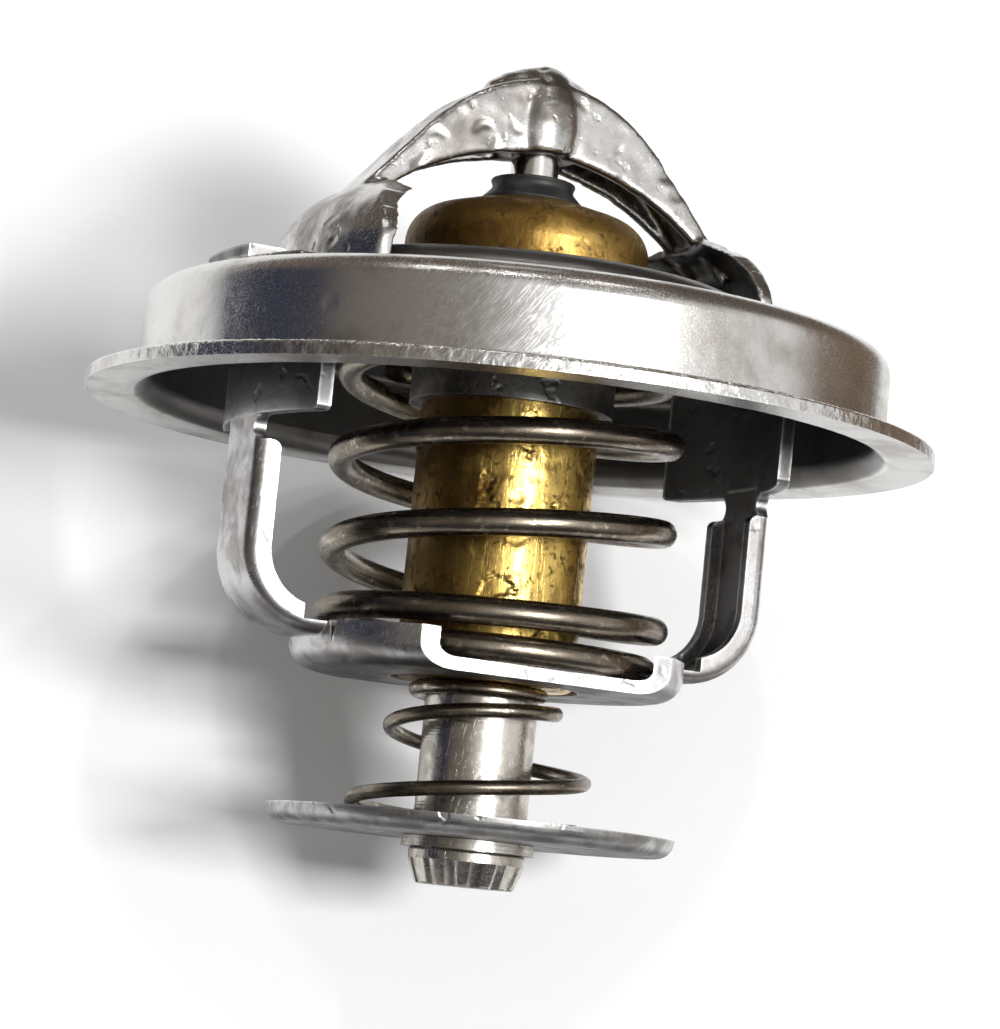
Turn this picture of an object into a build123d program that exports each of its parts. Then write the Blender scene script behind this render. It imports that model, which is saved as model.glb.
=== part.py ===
from build123d import *
import math
import os

# Coolant temperature valve for a truck engine, with a wax element.
#
# A deep-drawn flange carries a stamped bridge above and a stamped frame below. The wax
# element hangs on a piston that the bridge holds. The main spring stands in the frame's
# dish and presses the element's valve disc up against the seat in the flange. When the
# wax melts it squeezes the piston out, so the element moves down and opens the valve. A
# stem under the element carries a sprung disc that shuts the bypass port.
#
# Frame: Z is the valve's axis, up towards the bridge, and Z = 0 is the underside of the
# mounting lip. X runs through the bridge's feet and the frame's legs. Sizes are in mm.

# ---- flange -----------------------------------------------------------------------
LIP_D = 67.0                 # outside of the mounting lip
LIP_WIDTH = 4.0              # lip beyond the drawn wall
WEB_TOP = 8.5                # height of the web's top face over the lip's underside
FLANGE_SHEET = 1.0
FLANGE_BEND = 0.8            # inside bend radius of the flange
LIP_EDGE = 0.2               # rounded upper edge of the lip
SEAT_D = 31.6                # opening in the seat
COLLAR_LAND = 2.9            # raised collar beyond that opening
COLLAR_RISE = 3.05           # collar above the web

# ---- bridge -----------------------------------------------------------------------
BRIDGE_LIFT = 11.4           # top of the piston socket above the element's cover
BRIDGE_SHEET = 1.0
ARM_WIDTH = 5.3              # outside of the channel that forms each arm
ARM_ROUND = 1.9              # outside radius along the arm's back
CROWN_DROP = 1.6             # the arms' back lies this far below the socket's top
KNEE_X = 7.2                 # where the arm's back turns down
KNEE_DROP = 4.0
MOUTH_DROP = 7.55            # lower edge of the channel at the socket
WAIST_X = 7.5                # lower edge between socket and heel
WAIST_DROP = 9.1
SOCKET_D = 5.7               # outside of the piston socket
FOOT_GAP = 0.3               # feet round the collar
FOOT_WIDTH = 21.6
FOOT_RISE = 3.65             # corner of the foot's side and sloping top, above the collar
FOOT_SHOULDER_BEND = 6.0     # inside bend radius of that shoulder
FOOT_CORNER = 3.0            # rounded corners of the foot's outline
HEEL_REACH = 6.0             # sloping top of the foot, towards the axis
HEEL_RISE = 2.4
HEEL_OVERLAP = 2.6           # arm over that slope
TOE_EDGE = 0.2               # toe beyond the clinched tongue
TOE_BEND = 0.4

# ---- lower frame ------------------------------------------------------------------
FRAME_SHEET = 1.0
SHOULDER_STEP = 2.4          # outside of the curved shoulders beyond the feet
SHOULDER_WIDTH = 19.8
SHOULDER_DROP = 2.0          # shoulders below the lip's underside
SHOULDER_CORNER = 0.5
NECK_WIDTH = 5.2             # neck between shoulder and leg
LEG_STEP_IN = 0.2            # outer face of each leg inside the shoulder's
LEG_WIDTH = 7.4
LEG_ROUND = 1.1              # outside radius along the leg's edges
LEG_FLANGE = 2.0             # depth of the leg's turned-in flanges
LEG_FLANGE_TOP = -3.9        # where those flanges start
LEG_FLANGE_GAP = 1.5         # where they stop, beyond the dish
LEG_FLANGE_CORNER = 0.7
LEG_BEND = 6.3               # outside radius of the leg's lower bend
LEG_STEP = 2.0               # leg's foot above the dish's underside
DISH_BASE = -20.0            # underside of the dish
DISH_RIM = 3.1               # height of the dish's rim over that
DISH_BEND = 0.9
DISH_FLAT = 11.4             # the dish is cut straight this far from the axis
NOTCH_WIDTH = 1.4            # notch between each leg and the dish's rim
NOTCH_DEPTH = 1.7
GUIDE_CLEARANCE = 0.34       # can to the hole in the dish
TONGUE_WIDTH = 9.0           # tongue that is clinched over the bridge's toe
TONGUE_REACH = 2.8
TONGUE_BEND = 0.3
SLOT_CLEARANCE = 0.15        # tongue to its slot

# ---- valve ------------------------------------------------------------------------
DISC_SHEET = 1.0
DISC_FLAT = 1.3              # width of the disc's flat rim
DISC_RISE = 2.0              # rim above the pan
DISC_SLOPE = 1.3             # run of the slope between them
DISC_BEND = 0.5
HUB_LENGTH = 4.8             # hub below the pan
SEAL_CLEARANCE = 0.3         # seal to the inside of the collar
SEAL_HEIGHT = 1.0            # seal above the disc's rim
SEAL_RIM = 0.5               # seal beyond the rim
SEAL_WIDTH = 2.1
SEAT_GAP = 0.05              # closed valve to seat
PRESSED_GAP = 0.02           # between pieces that are pressed or cast together

# ---- wax element ------------------------------------------------------------------
CAN_D = 14.12
CAN_WALL = 0.8
CAN_FLOOR = 1.2
CAN_LENGTH = 28.3            # from the underside of its rim to its bottom
CAN_EDGE = 0.6
CAN_RIM_REACH = 1.74         # rim that the cover is crimped over, beyond the can
CAN_RIM = 1.0
COVER_WALL = 0.88
CRIMP = 0.8                  # cover's lip under the can's rim
COVER_HEIGHT = 10.8
COVER_SLOPE = 1.6            # fall of the crown from its flat to the side
COVER_ROUND = 3.0
COVER_FLAT_D = 8.8           # flat on top of the cover
BORE_GAP = 0.05              # piston to its guide bore
SLEEVE_WALL = 1.2
SLEEVE_RIM = 1.0
SLEEVE_END_GAP = 0.8         # piston to the sleeve's closed end
WAX_UNDER = 1.5              # wax between the sleeve and the rivet
WASHER_D = 8.0
WASHER_HEIGHT = 1.0
PISTON_D = 3.8
PISTON_TAPER = 4.0
PISTON_TIP_D = 2.2
SOCKET_GAP = 0.02            # piston to its socket
BOOT_ROOT_D = 6.4            # root of the boot, sunk into the cover
BOOT_ROOT = 1.6
BOOT_BASE_D = 8.6
BOOT_NECK_D = 6.3
BOOT_NECK_Z = 1.2            # neck above the cover
BOOT_LIP_D = 6.9
BOOT_HEIGHT = 1.9
BOOT_MOUTH_D = 5.8
BOOT_CLEARANCE = 0.15        # boot to piston, as radius

# ---- main spring ------------------------------------------------------------------
MAIN_WIRE = 2.15
MAIN_EDGE = 0.3              # free coils inside the disc's pan
MAIN_END_STEP = 0.7          # closed coils inside the free ones
DISH_CLEARANCE = 0.3         # closed coil to the dish's bend
MAIN_START = -154.0          # angle of the wire's lower end, degrees
MAIN_PITCH = 6.9
SPRING_SEAT = 0.02           # spring to the face that it stands on

# ---- bypass -----------------------------------------------------------------------
STEM_D = 8.86
STEM_LENGTH = 15.8
SPIGOT_PIN_D = 6.0           # pin of the stem through the can's floor
RIVET_REACH = 0.7            # rivet head beyond the pin
RIVET = 0.6
GROOVE_DEPTH = 0.63
GROOVE_GAP = 0.05            # retaining ring to its groove
RING_REACH = 0.77            # ring beyond the stem
RING_HEIGHT = 0.8
RING_DROP = 13.0             # underside of the ring below the can
RING_SLIT = 2.0
TIP_STEP = 0.12              # tip beyond the stem
TIP_LAND = 0.85              # plain land above the flutes
TIP_TAPER = 0.7              # fall in radius over the flutes
TIP_FLUTES = 14
FLUTE_D = 1.5
FLUTE_DEPTH = 0.22
BYPASS_D = 32.0
BYPASS_SHEET = 1.0
BYPASS_RIM = 1.45            # height of the dished rim
BYPASS_RIM_WALL = 0.8
BYPASS_ROUND = 1.3
BYPASS_BOSS_WALL = 0.62
BYPASS_BOSS = 0.8            # collar round the bore, above the plate
STEM_CLEARANCE = 0.1         # bypass disc to stem
RING_REST = 0.05             # bypass disc to retaining ring
CONE_WIRE = 1.15
CONE_CLEARANCE = 0.12        # small end to the stem
CONE_FLARE = 1.1             # growth of the mean radius over the turn below that end
CONE_D = 18.8                # mean size of the large end
CONE_END = -50.0             # angle of the wire's upper end, degrees

# ---- radii and heights that follow ------------------------------------------------
LIP_R = LIP_D / 2
SPIGOT_R = LIP_R - LIP_WIDTH
SEAT_R = SEAT_D / 2
COLLAR_R = SEAT_R + COLLAR_LAND
SEAL_R = COLLAR_R - FLANGE_SHEET - SEAL_CLEARANCE
DISC_R = SEAL_R - SEAL_RIM
PAN_R = DISC_R - DISC_FLAT - DISC_SLOPE
FOOT_R = COLLAR_R + FOOT_GAP + BRIDGE_SHEET
SHOULDER_R = FOOT_R + SHOULDER_STEP
SHOULDER_INNER = SHOULDER_R - FRAME_SHEET
TOE_R = SHOULDER_R + TONGUE_REACH + TOE_EDGE
LEG_OUT = SHOULDER_R - LEG_STEP_IN
MAIN_R = PAN_R - MAIN_EDGE
MAIN_END_R = MAIN_R - MAIN_END_STEP
DISH_R = MAIN_END_R + DISH_CLEARANCE + DISH_BEND + FRAME_SHEET
CAN_R = CAN_D / 2
CAN_RIM_R = CAN_R + CAN_RIM_REACH
COVER_R = CAN_RIM_R + PRESSED_GAP + COVER_WALL
PISTON_R = PISTON_D / 2
PIN_R = SPIGOT_PIN_D / 2
RIVET_R = PIN_R + RIVET_REACH
STEM_R = STEM_D / 2
GROOVE_R = STEM_R - GROOVE_DEPTH
TIP_R = STEM_R + TIP_STEP
CONE_TOP_R = STEM_R + CONE_CLEARANCE + CONE_WIRE / 2

WEB_UNDER = WEB_TOP - FLANGE_SHEET
TOE_TOP = WEB_TOP + BRIDGE_SHEET
COLLAR_TOP = WEB_TOP + COLLAR_RISE
SEAT_Z = COLLAR_TOP - FLANGE_SHEET
FOOT_SHOULDER_Z = COLLAR_TOP + FOOT_RISE
DISH_FLOOR = DISH_BASE + FRAME_SHEET
DISC_RIM_TOP = SEAT_Z - SEAT_GAP - SEAL_HEIGHT
DISC_PAN_Z = DISC_RIM_TOP - DISC_RISE - DISC_SHEET
CRIMP_Z = DISC_PAN_Z + DISC_SHEET
CAN_RIM_Z = CRIMP_Z + CRIMP
CAN_BASE = CAN_RIM_Z - CAN_LENGTH
CAN_INSIDE = CAN_BASE + CAN_FLOOR
SLEEVE_Z = CAN_RIM_Z + CAN_RIM
WASHER_Z = SLEEVE_Z + SLEEVE_RIM
COVER_TOP = CRIMP_Z + COVER_HEIGHT
BRIDGE_TOP = COVER_TOP + BRIDGE_LIFT
PISTON_TOP = BRIDGE_TOP - BRIDGE_SHEET
SLEEVE_BOTTOM = CAN_INSIDE + RIVET + WAX_UNDER
PISTON_BOTTOM = SLEEVE_BOTTOM + SLEEVE_WALL + SLEEVE_END_GAP
RING_Z = CAN_BASE - RING_DROP
RING_TOP = RING_Z + RING_HEIGHT
BYPASS_UNDER = RING_TOP + RING_REST
BYPASS_TOP = BYPASS_UNDER + BYPASS_SHEET


# ---- helpers ----------------------------------------------------------------------
def moved_left(corners, distance):
    """Corners of the line that runs this far to the left of an open line of corners."""
    directions = []
    for (x0, z0), (x1, z1) in zip(corners, corners[1:]):
        length = math.hypot(x1 - x0, z1 - z0)
        directions.append(((x1 - x0) / length, (z1 - z0) / length))
    before = directions[:1] + directions
    after = directions + directions[-1:]
    moved = []
    for (x, z), (ax, az), (bx, bz) in zip(corners, before, after):
        share = distance / (1 + ax * bx + az * bz)
        moved.append((x - (az + bz) * share, z + (ax + bx) * share))
    return moved


def sheet_section(corners, bends, sheet):
    """Section of folded sheet in the XZ plane, with the sheet to the left of its corners."""
    near_radii, far_radii = [], []
    for bend, (x0, z0), (x1, z1), (x2, z2) in zip(bends, corners, corners[1:], corners[2:]):
        left_turn = (x1 - x0) * (z2 - z1) - (z1 - z0) * (x2 - x1) > 0
        near_radii.append(bend + sheet if left_turn else bend)
        far_radii.append(bend if left_turn else bend + sheet)
    far_corners = moved_left(corners, sheet)
    near = FilletPolyline(*corners, radius=near_radii)
    far = FilletPolyline(*far_corners, radius=far_radii)
    start = Line(corners[0], far_corners[0])
    end = Line(corners[-1], far_corners[-1])
    return Plane.XZ * make_face(near.edges() + far.edges() + [start, end])


def turned(corners, radii=None):
    """Solid turned about Z from the corners of its half section, each with its radius."""
    outline = FilletPolyline(*corners, radius=radii or [0] * len(corners), close=True)
    return revolve(Plane.XZ * make_face(outline.edges()), Axis.Z)


def ring(outer, inner, low, high):
    """Plain ring about Z between two radii and two heights."""
    return turned([(inner, low), (outer, low), (outer, high), (inner, high)])


def rod(radius, low, high):
    """Plain round rod about Z."""
    return Pos(0, 0, (low + high) / 2) * Cylinder(radius, high - low)


def bar_along_x(corners, radii, start, end):
    """Bar along X between two distances from the axis, with its outline in the YZ plane."""
    outline = FilletPolyline(*corners, radius=radii, close=True)
    return Pos(start, 0, 0) * extrude(Plane.YZ * make_face(outline.edges()), end - start)


def mirrored_outline(half):
    """Closed outline from the corners of its right half, from the bottom up."""
    return half + [(-y, z) for y, z in reversed(half)]


def both_sides(shape):
    """The shape together with its copy turned half way round the axis."""
    return shape + Rot(0, 0, 180) * shape


def on_side(edge, y):
    """Whether the edge lies in one of the two planes this far from the XZ plane."""
    box = edge.bounding_box()
    return abs(abs(box.center().Y) - y) < 1e-3 and box.size.Y < 1e-3


def coil(stations, wire, start_angle):
    """Right-handed coil through (turns, mean radius, height) stations, low end first."""
    steps_per_turn = 16
    total = stations[-1][0]
    steps = round(total * steps_per_turn)
    points = []
    for step in range(steps + 1):
        turn = total * step / steps
        low, high = next(
            pair for pair in zip(stations, stations[1:]) if turn <= pair[1][0] + 1e-9
        )
        share = (turn - low[0]) / (high[0] - low[0])
        radius = low[1] + (high[1] - low[1]) * share
        height = low[2] + (high[2] - low[2]) * share
        angle = math.radians(start_angle + 360 * turn)
        points.append((radius * math.cos(angle), radius * math.sin(angle), height))
    path = Spline(*points)
    section = Plane(origin=path @ 0, z_dir=path % 0) * Circle(wire / 2)
    return sweep(section, path=path, is_frenet=True)


# ---- flange -----------------------------------------------------------------------
def tongue_slots(low, high):
    """The two curved slots that the frame's tongues pass through."""
    outer = SHOULDER_R + TONGUE_BEND + SLOT_CLEARANCE
    inner = SHOULDER_INNER - SLOT_CLEARANCE
    width = TONGUE_WIDTH + 2 * SLOT_CLEARANCE
    band = Pos(0, 0, (low + high) / 2) * Box(LIP_D, width, high - low)
    return ring(outer, inner, low, high) & band


def make_flange():
    """Lip, drawn wall, web and raised seat collar, pressed from one sheet."""
    face = [
        (LIP_R, FLANGE_SHEET),
        (SPIGOT_R, FLANGE_SHEET),
        (SPIGOT_R, WEB_TOP),
        (COLLAR_R, WEB_TOP),
        (COLLAR_R, COLLAR_TOP),
        (SEAT_R, COLLAR_TOP),
    ]
    body = revolve(sheet_section(face, [FLANGE_BEND] * 4, FLANGE_SHEET), Axis.Z)
    lip = body.edges().filter_by(GeomType.CIRCLE)
    lip = lip.filter_by(lambda edge: abs(edge.radius - LIP_R) < 1e-6)
    body = fillet(lip.sort_by(Axis.Z)[-1], LIP_EDGE)
    return body - tongue_slots(WEB_UNDER - FLANGE_SHEET, WEB_TOP + FLANGE_SHEET)


# ---- bridge -----------------------------------------------------------------------
def arm_bar(back, lower, width, edge_round):
    """Arm as a solid bar with a rounded back, from the lines of its back and lower edge."""
    top = Spline(*back, tangents=[(1, -0.05), (1, -0.9)])
    ends = [Line(back[-1], lower[0]), Line(lower[-1], back[0])]
    side = Plane.XZ * make_face(top.edges() + Spline(*lower).edges() + ends)
    bar = extrude(side, width / 2, both=True)
    backs = bar.edges().filter_by(lambda edge: on_side(edge, width / 2)).sort_by(Axis.Z)
    return fillet(backs[-2:], edge_round)


def make_bridge():
    """Two channel arms with a domed piston socket between them, and two spread feet."""
    heel_slope = HEEL_RISE / HEEL_REACH
    heel_x = FOOT_R - HEEL_REACH
    end_x = heel_x + HEEL_OVERLAP
    end_z = FOOT_SHOULDER_Z + HEEL_RISE - heel_slope * HEEL_OVERLAP - BRIDGE_SHEET / 2
    back = [(0, BRIDGE_TOP - CROWN_DROP), (KNEE_X, BRIDGE_TOP - KNEE_DROP), (end_x, end_z)]
    lower = [
        (end_x, end_z - 2 * BRIDGE_SHEET),
        (WAIST_X, BRIDGE_TOP - WAIST_DROP),
        (0, BRIDGE_TOP - MOUTH_DROP),
    ]
    hollow_back = moved_left(back, -BRIDGE_SHEET)
    hollow_back[0] = (0, hollow_back[0][1])
    hollow_lower = [(x, z - 3 * BRIDGE_SHEET) for x, z in lower]
    bar = arm_bar(back, lower, ARM_WIDTH, ARM_ROUND)
    hollow = arm_bar(
        hollow_back, hollow_lower, ARM_WIDTH - 2 * BRIDGE_SHEET, ARM_ROUND - BRIDGE_SHEET
    )

    socket_r = SOCKET_D / 2
    dome_z = BRIDGE_TOP - socket_r
    socket = rod(socket_r, BRIDGE_TOP - MOUTH_DROP, dome_z) + Pos(0, 0, dome_z) * Sphere(socket_r)
    bore_r = PISTON_R + SOCKET_GAP
    bore = rod(bore_r, BRIDGE_TOP - MOUTH_DROP - BRIDGE_SHEET, PISTON_TOP)

    foot_face = [
        (TOE_R, TOE_TOP),
        (FOOT_R, TOE_TOP),
        (FOOT_R, FOOT_SHOULDER_Z),
        (heel_x, FOOT_SHOULDER_Z + HEEL_RISE),
    ]
    foot = revolve(
        sheet_section(foot_face, [TOE_BEND, FOOT_SHOULDER_BEND], BRIDGE_SHEET), Axis.Z
    )
    half_width = FOOT_WIDTH / 2
    outline = mirrored_outline([
        (half_width, WEB_TOP - BRIDGE_SHEET),
        (half_width, FOOT_SHOULDER_Z - 0.8 * FOOT_CORNER),
        (half_width - FOOT_CORNER, FOOT_SHOULDER_Z + 0.2 * FOOT_CORNER),
        (ARM_WIDTH / 2, FOOT_SHOULDER_Z + 1.2 * HEEL_RISE),
    ])
    radii = [0, FOOT_CORNER, 1, 0, 0, 1, FOOT_CORNER, 0]
    foot = foot & bar_along_x(outline, radii, SHOULDER_R / 2, LIP_R)
    foot = foot - tongue_slots(WEB_TOP - BRIDGE_SHEET, TOE_TOP + BRIDGE_SHEET)

    arms = both_sides(bar) + socket - both_sides(hollow) - bore
    return arms + both_sides(foot)


# ---- lower frame ------------------------------------------------------------------
def make_leg():
    """Channel leg from the shoulder's edge round to the dish, with its open side inward."""
    base_z = DISH_BASE + LEG_STEP
    flange_end = DISH_R + LEG_FLANGE_GAP
    dish_inside = DISH_R - 0.6 * FRAME_SHEET
    top_z = -SHOULDER_DROP + FRAME_SHEET / 2
    face = [(dish_inside, base_z), (LEG_OUT, base_z), (LEG_OUT, top_z)]
    bar = extrude(
        sheet_section(face, [LEG_BEND - LEG_FLANGE], LEG_FLANGE), LEG_WIDTH / 2, both=True
    )

    def on_outer_face(edge):
        middle = edge @ 0.5
        bend_x, bend_z = LEG_OUT - LEG_BEND, base_z + LEG_BEND
        if middle.X > bend_x and middle.Z < bend_z:
            return abs(math.hypot(middle.X - bend_x, middle.Z - bend_z) - LEG_BEND) < 1e-3
        return abs(middle.X - LEG_OUT) < 1e-3 or abs(middle.Z - base_z) < 1e-3

    long_edges = bar.edges().filter_by(lambda edge: on_side(edge, LEG_WIDTH / 2))
    bar = fillet(long_edges.filter_by(on_outer_face), LEG_ROUND)
    inner_face = moved_left(face, FRAME_SHEET)
    hollow = extrude(
        sheet_section(inner_face, [LEG_BEND - LEG_FLANGE - FRAME_SHEET], LEG_FLANGE),
        LEG_WIDTH / 2 - FRAME_SHEET,
        both=True,
    )
    leg = bar - hollow
    web_top = base_z + FRAME_SHEET
    above = Pos(LEG_OUT - FRAME_SHEET - LEG_FLANGE, 0, LEG_FLANGE_TOP + LEG_FLANGE)
    leg = leg - above * Box(2 * LEG_FLANGE, LEG_WIDTH, 2 * LEG_FLANGE)
    beside = Pos(flange_end - LEG_FLANGE, 0, web_top + LEG_FLANGE)
    leg = leg - beside * Box(2 * LEG_FLANGE, LEG_WIDTH, 2 * LEG_FLANGE)
    notch_r = (-SHOULDER_DROP - LEG_FLANGE_TOP) / 2
    for way in (1, -1):
        root = Pos(LEG_OUT, way * (NECK_WIDTH / 2 + notch_r), LEG_FLANGE_TOP + notch_r)
        notch = Rot(0, 90, 0) * Cylinder(notch_r, 4 * FRAME_SHEET)
        notch += Pos(0, way * LEG_WIDTH / 2, 0) * Box(4 * FRAME_SHEET, LEG_WIDTH, 2 * notch_r)
        leg = leg - root * notch
    corners = leg.edges().filter_by(Axis.Y).filter_by(
        lambda edge: any(
            math.hypot(edge.center().X - x, edge.center().Z - z) < 1e-3
            for x, z in (
                (LEG_OUT - LEG_FLANGE, LEG_FLANGE_TOP),
                (flange_end, base_z + LEG_FLANGE),
            )
        )
    )
    return fillet(corners, LEG_FLANGE_CORNER)


def make_frame():
    """Curved shoulders with clinched tongues, two channel legs and the spring dish."""
    shoulder_face = [
        (SHOULDER_R, -SHOULDER_DROP),
        (SHOULDER_R, TOE_TOP),
        (SHOULDER_R + TONGUE_REACH, TOE_TOP),
    ]
    shoulder = revolve(sheet_section(shoulder_face, [TONGUE_BEND], FRAME_SHEET), Axis.Z)
    low = -SHOULDER_DROP
    outline = mirrored_outline([
        (SHOULDER_WIDTH / 2, low),
        (SHOULDER_WIDTH / 2, WEB_UNDER),
        (TONGUE_WIDTH / 2, WEB_UNDER),
        (TONGUE_WIDTH / 2, TOE_TOP + 2 * FRAME_SHEET),
    ])
    radii = [SHOULDER_CORNER, 0, 0, 0, 0, 0, 0, SHOULDER_CORNER]
    shoulder = shoulder & bar_along_x(outline, radii, SHOULDER_R / 2, LIP_R)
    side = shoulder + make_leg()

    can_hole = CAN_R + GUIDE_CLEARANCE
    dish_face = [
        (can_hole, DISH_BASE),
        (DISH_R, DISH_BASE),
        (DISH_R, DISH_BASE + DISH_RIM),
    ]
    dish = revolve(sheet_section(dish_face, [DISH_BEND], FRAME_SHEET), Axis.Z)
    dish = dish & Pos(0, 0, DISH_BASE) * Box(2 * DISH_R, 2 * DISH_FLAT, 4 * DISH_RIM)
    rim_top = DISH_BASE + DISH_RIM
    for way in (1, -1):
        notch = [
            (way * LEG_WIDTH / 2, rim_top + FRAME_SHEET),
            (way * (LEG_WIDTH / 2 + NOTCH_WIDTH), rim_top + FRAME_SHEET),
            (way * (LEG_WIDTH / 2 + NOTCH_WIDTH / 2), rim_top - NOTCH_DEPTH),
        ]
        dish = dish - both_sides(bar_along_x(notch, [0, 0, 0], DISH_R / 2, DISH_R))
    return both_sides(side) + dish


# ---- valve disc and seal ----------------------------------------------------------
def make_valve_disc():
    """Stamped disc with a hub pressed on the can, a flat pan and a raised rim."""
    hub_r = CAN_R + PRESSED_GAP + DISC_SHEET
    face = [
        (hub_r, DISC_PAN_Z - HUB_LENGTH),
        (hub_r, DISC_PAN_Z),
        (PAN_R, DISC_PAN_Z),
        (PAN_R + DISC_SLOPE, DISC_PAN_Z + DISC_RISE),
        (DISC_R, DISC_PAN_Z + DISC_RISE),
    ]
    return revolve(sheet_section(face, [DISC_BEND] * 3, DISC_SHEET), Axis.Z)


def make_valve_seal():
    """Rubber ring moulded round the disc's rim, with its flat face to the seat."""
    rim_r = DISC_R + PRESSED_GAP
    inner = SEAL_R - SEAL_WIDTH
    under = DISC_RIM_TOP + PRESSED_GAP
    top = SEAT_Z - SEAT_GAP
    skirt = DISC_RIM_TOP - DISC_SHEET
    corners = [
        (inner, under),
        (rim_r, under),
        (rim_r, skirt),
        (SEAL_R, skirt),
        (SEAL_R, top),
        (inner, top),
    ]
    return turned(corners, [0, 0, 0, 0.1, 0.3, 0.4])


# ---- wax element ------------------------------------------------------------------
def make_can():
    """Deep-drawn brass can with a turned-out rim and a hole for the stem's pin."""
    inner = CAN_R - CAN_WALL
    hole = PIN_R + PRESSED_GAP
    corners = [
        (hole, CAN_BASE),
        (CAN_R, CAN_BASE),
        (CAN_R, CAN_RIM_Z),
        (CAN_RIM_R, CAN_RIM_Z),
        (CAN_RIM_R, SLEEVE_Z),
        (inner, SLEEVE_Z),
        (inner, CAN_INSIDE),
        (hole, CAN_INSIDE),
    ]
    return turned(corners, [0, CAN_EDGE, 0.1, 0.2, 0.2, 0.2, 0.4, 0])


def make_cover():
    """Domed brass cover, crimped under the can's rim, with the piston's guide bore."""
    rim_r = CAN_RIM_R + PRESSED_GAP
    lip_r = CAN_R + CRIMP / 3
    root_r = BOOT_ROOT_D / 2
    bore_r = PISTON_R + BORE_GAP
    washer_r = WASHER_D / 2 + PRESSED_GAP
    washer_top = WASHER_Z + WASHER_HEIGHT + PRESSED_GAP
    corners = [
        (lip_r, CRIMP_Z),
        (COVER_R, CRIMP_Z),
        (COVER_R, COVER_TOP - COVER_SLOPE),
        (COVER_FLAT_D / 2, COVER_TOP),
        (root_r, COVER_TOP),
        (root_r, COVER_TOP - BOOT_ROOT),
        (bore_r, COVER_TOP - BOOT_ROOT),
        (bore_r, washer_top),
        (washer_r, washer_top),
        (washer_r, WASHER_Z),
        (rim_r, WASHER_Z),
        (rim_r, CAN_RIM_Z),
        (lip_r, CAN_RIM_Z),
    ]
    radii = [0, 0.6, COVER_ROUND, 1.5, 0, 0, 0, 0, 0, 0, 0, 0, 0]
    return turned(corners, radii)


def make_sleeve():
    """Rubber sleeve round the piston, with a rim that the cover clamps."""
    inner = PISTON_R + PRESSED_GAP
    outer = inner + SLEEVE_WALL
    corners = [
        (0, SLEEVE_BOTTOM),
        (outer, SLEEVE_BOTTOM),
        (outer, SLEEVE_Z),
        (CAN_RIM_R, SLEEVE_Z),
        (CAN_RIM_R, WASHER_Z),
        (inner, WASHER_Z),
        (inner, SLEEVE_BOTTOM + SLEEVE_WALL),
        (0, SLEEVE_BOTTOM + SLEEVE_WALL),
    ]
    return turned(corners, [0, 1, 0, 0.2, 0.2, 0, 0, 0])


def make_washer():
    """Backing washer that keeps the sleeve out of the guide bore."""
    top = WASHER_Z + WASHER_HEIGHT
    return ring(WASHER_D / 2, PISTON_R + PRESSED_GAP, WASHER_Z, top)


def make_wax():
    """Wax charge that fills the can round the sleeve and the stem's rivet head."""
    radius = CAN_R - CAN_WALL - PRESSED_GAP
    floor = CAN_INSIDE + PRESSED_GAP
    sleeve_r = PISTON_R + SLEEVE_WALL + 2 * PRESSED_GAP
    top = SLEEVE_Z - PRESSED_GAP
    wax = turned([(0, floor), (radius, floor), (radius, top), (0, top)], [0, 0.5, 0, 0])
    wax = wax - rod(sleeve_r, SLEEVE_BOTTOM - PRESSED_GAP, SLEEVE_Z)
    return wax - rod(RIVET_R + PRESSED_GAP, CAN_BASE, floor + RIVET)


def make_piston():
    """Hard steel pin with a tapered end, held in the bridge's socket."""
    corners = [
        (0, PISTON_BOTTOM),
        (PISTON_TIP_D / 2, PISTON_BOTTOM),
        (PISTON_R, PISTON_BOTTOM + PISTON_TAPER),
        (PISTON_R, PISTON_TOP),
        (0, PISTON_TOP),
    ]
    return turned(corners, [0, 0.4, 0, 0.4, 0])


def make_boot():
    """Rubber boot on the cover that wipes the piston and opens in a flared lip."""
    inner = PISTON_R + BOOT_CLEARANCE
    root_r = BOOT_ROOT_D / 2 - PRESSED_GAP
    under = COVER_TOP + PRESSED_GAP
    neck_z = under + BOOT_NECK_Z
    top = under + BOOT_HEIGHT
    corners = [
        (inner, COVER_TOP - BOOT_ROOT + PRESSED_GAP),
        (root_r, COVER_TOP - BOOT_ROOT + PRESSED_GAP),
        (root_r, under),
        (BOOT_BASE_D / 2, under),
        (BOOT_NECK_D / 2, neck_z),
        (BOOT_LIP_D / 2, top),
        (BOOT_MOUTH_D / 2, top),
        (inner, neck_z),
    ]
    return turned(corners, [0, 0, 0, 0.15, 0.5, 0.15, 0.1, 0])


# ---- springs ----------------------------------------------------------------------
def make_main_spring():
    """Main spring, closed at both ends, from the dish's floor to the valve disc's pan."""
    end_r = MAIN_END_R - MAIN_WIRE / 2
    free_r = MAIN_R - MAIN_WIRE / 2
    lift = MAIN_WIRE / 2 + SPRING_SEAT
    bottom = DISH_FLOOR + lift
    top = DISC_PAN_Z - lift
    second = bottom + 1.2 * MAIN_WIRE
    closing = (top - second) / MAIN_PITCH
    stations = [
        (0, end_r, bottom),
        (0.35, end_r, bottom),
        (0.85, free_r, second),
        (1.2, free_r, second),
        (1.5, free_r, second + 0.22 * MAIN_PITCH),
        (1.9, free_r, second + 0.77 * MAIN_PITCH),
        (1.1 + closing, free_r, top),
        (1.75 + closing, end_r, top),
    ]
    return coil(stations, MAIN_WIRE, MAIN_START)


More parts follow.
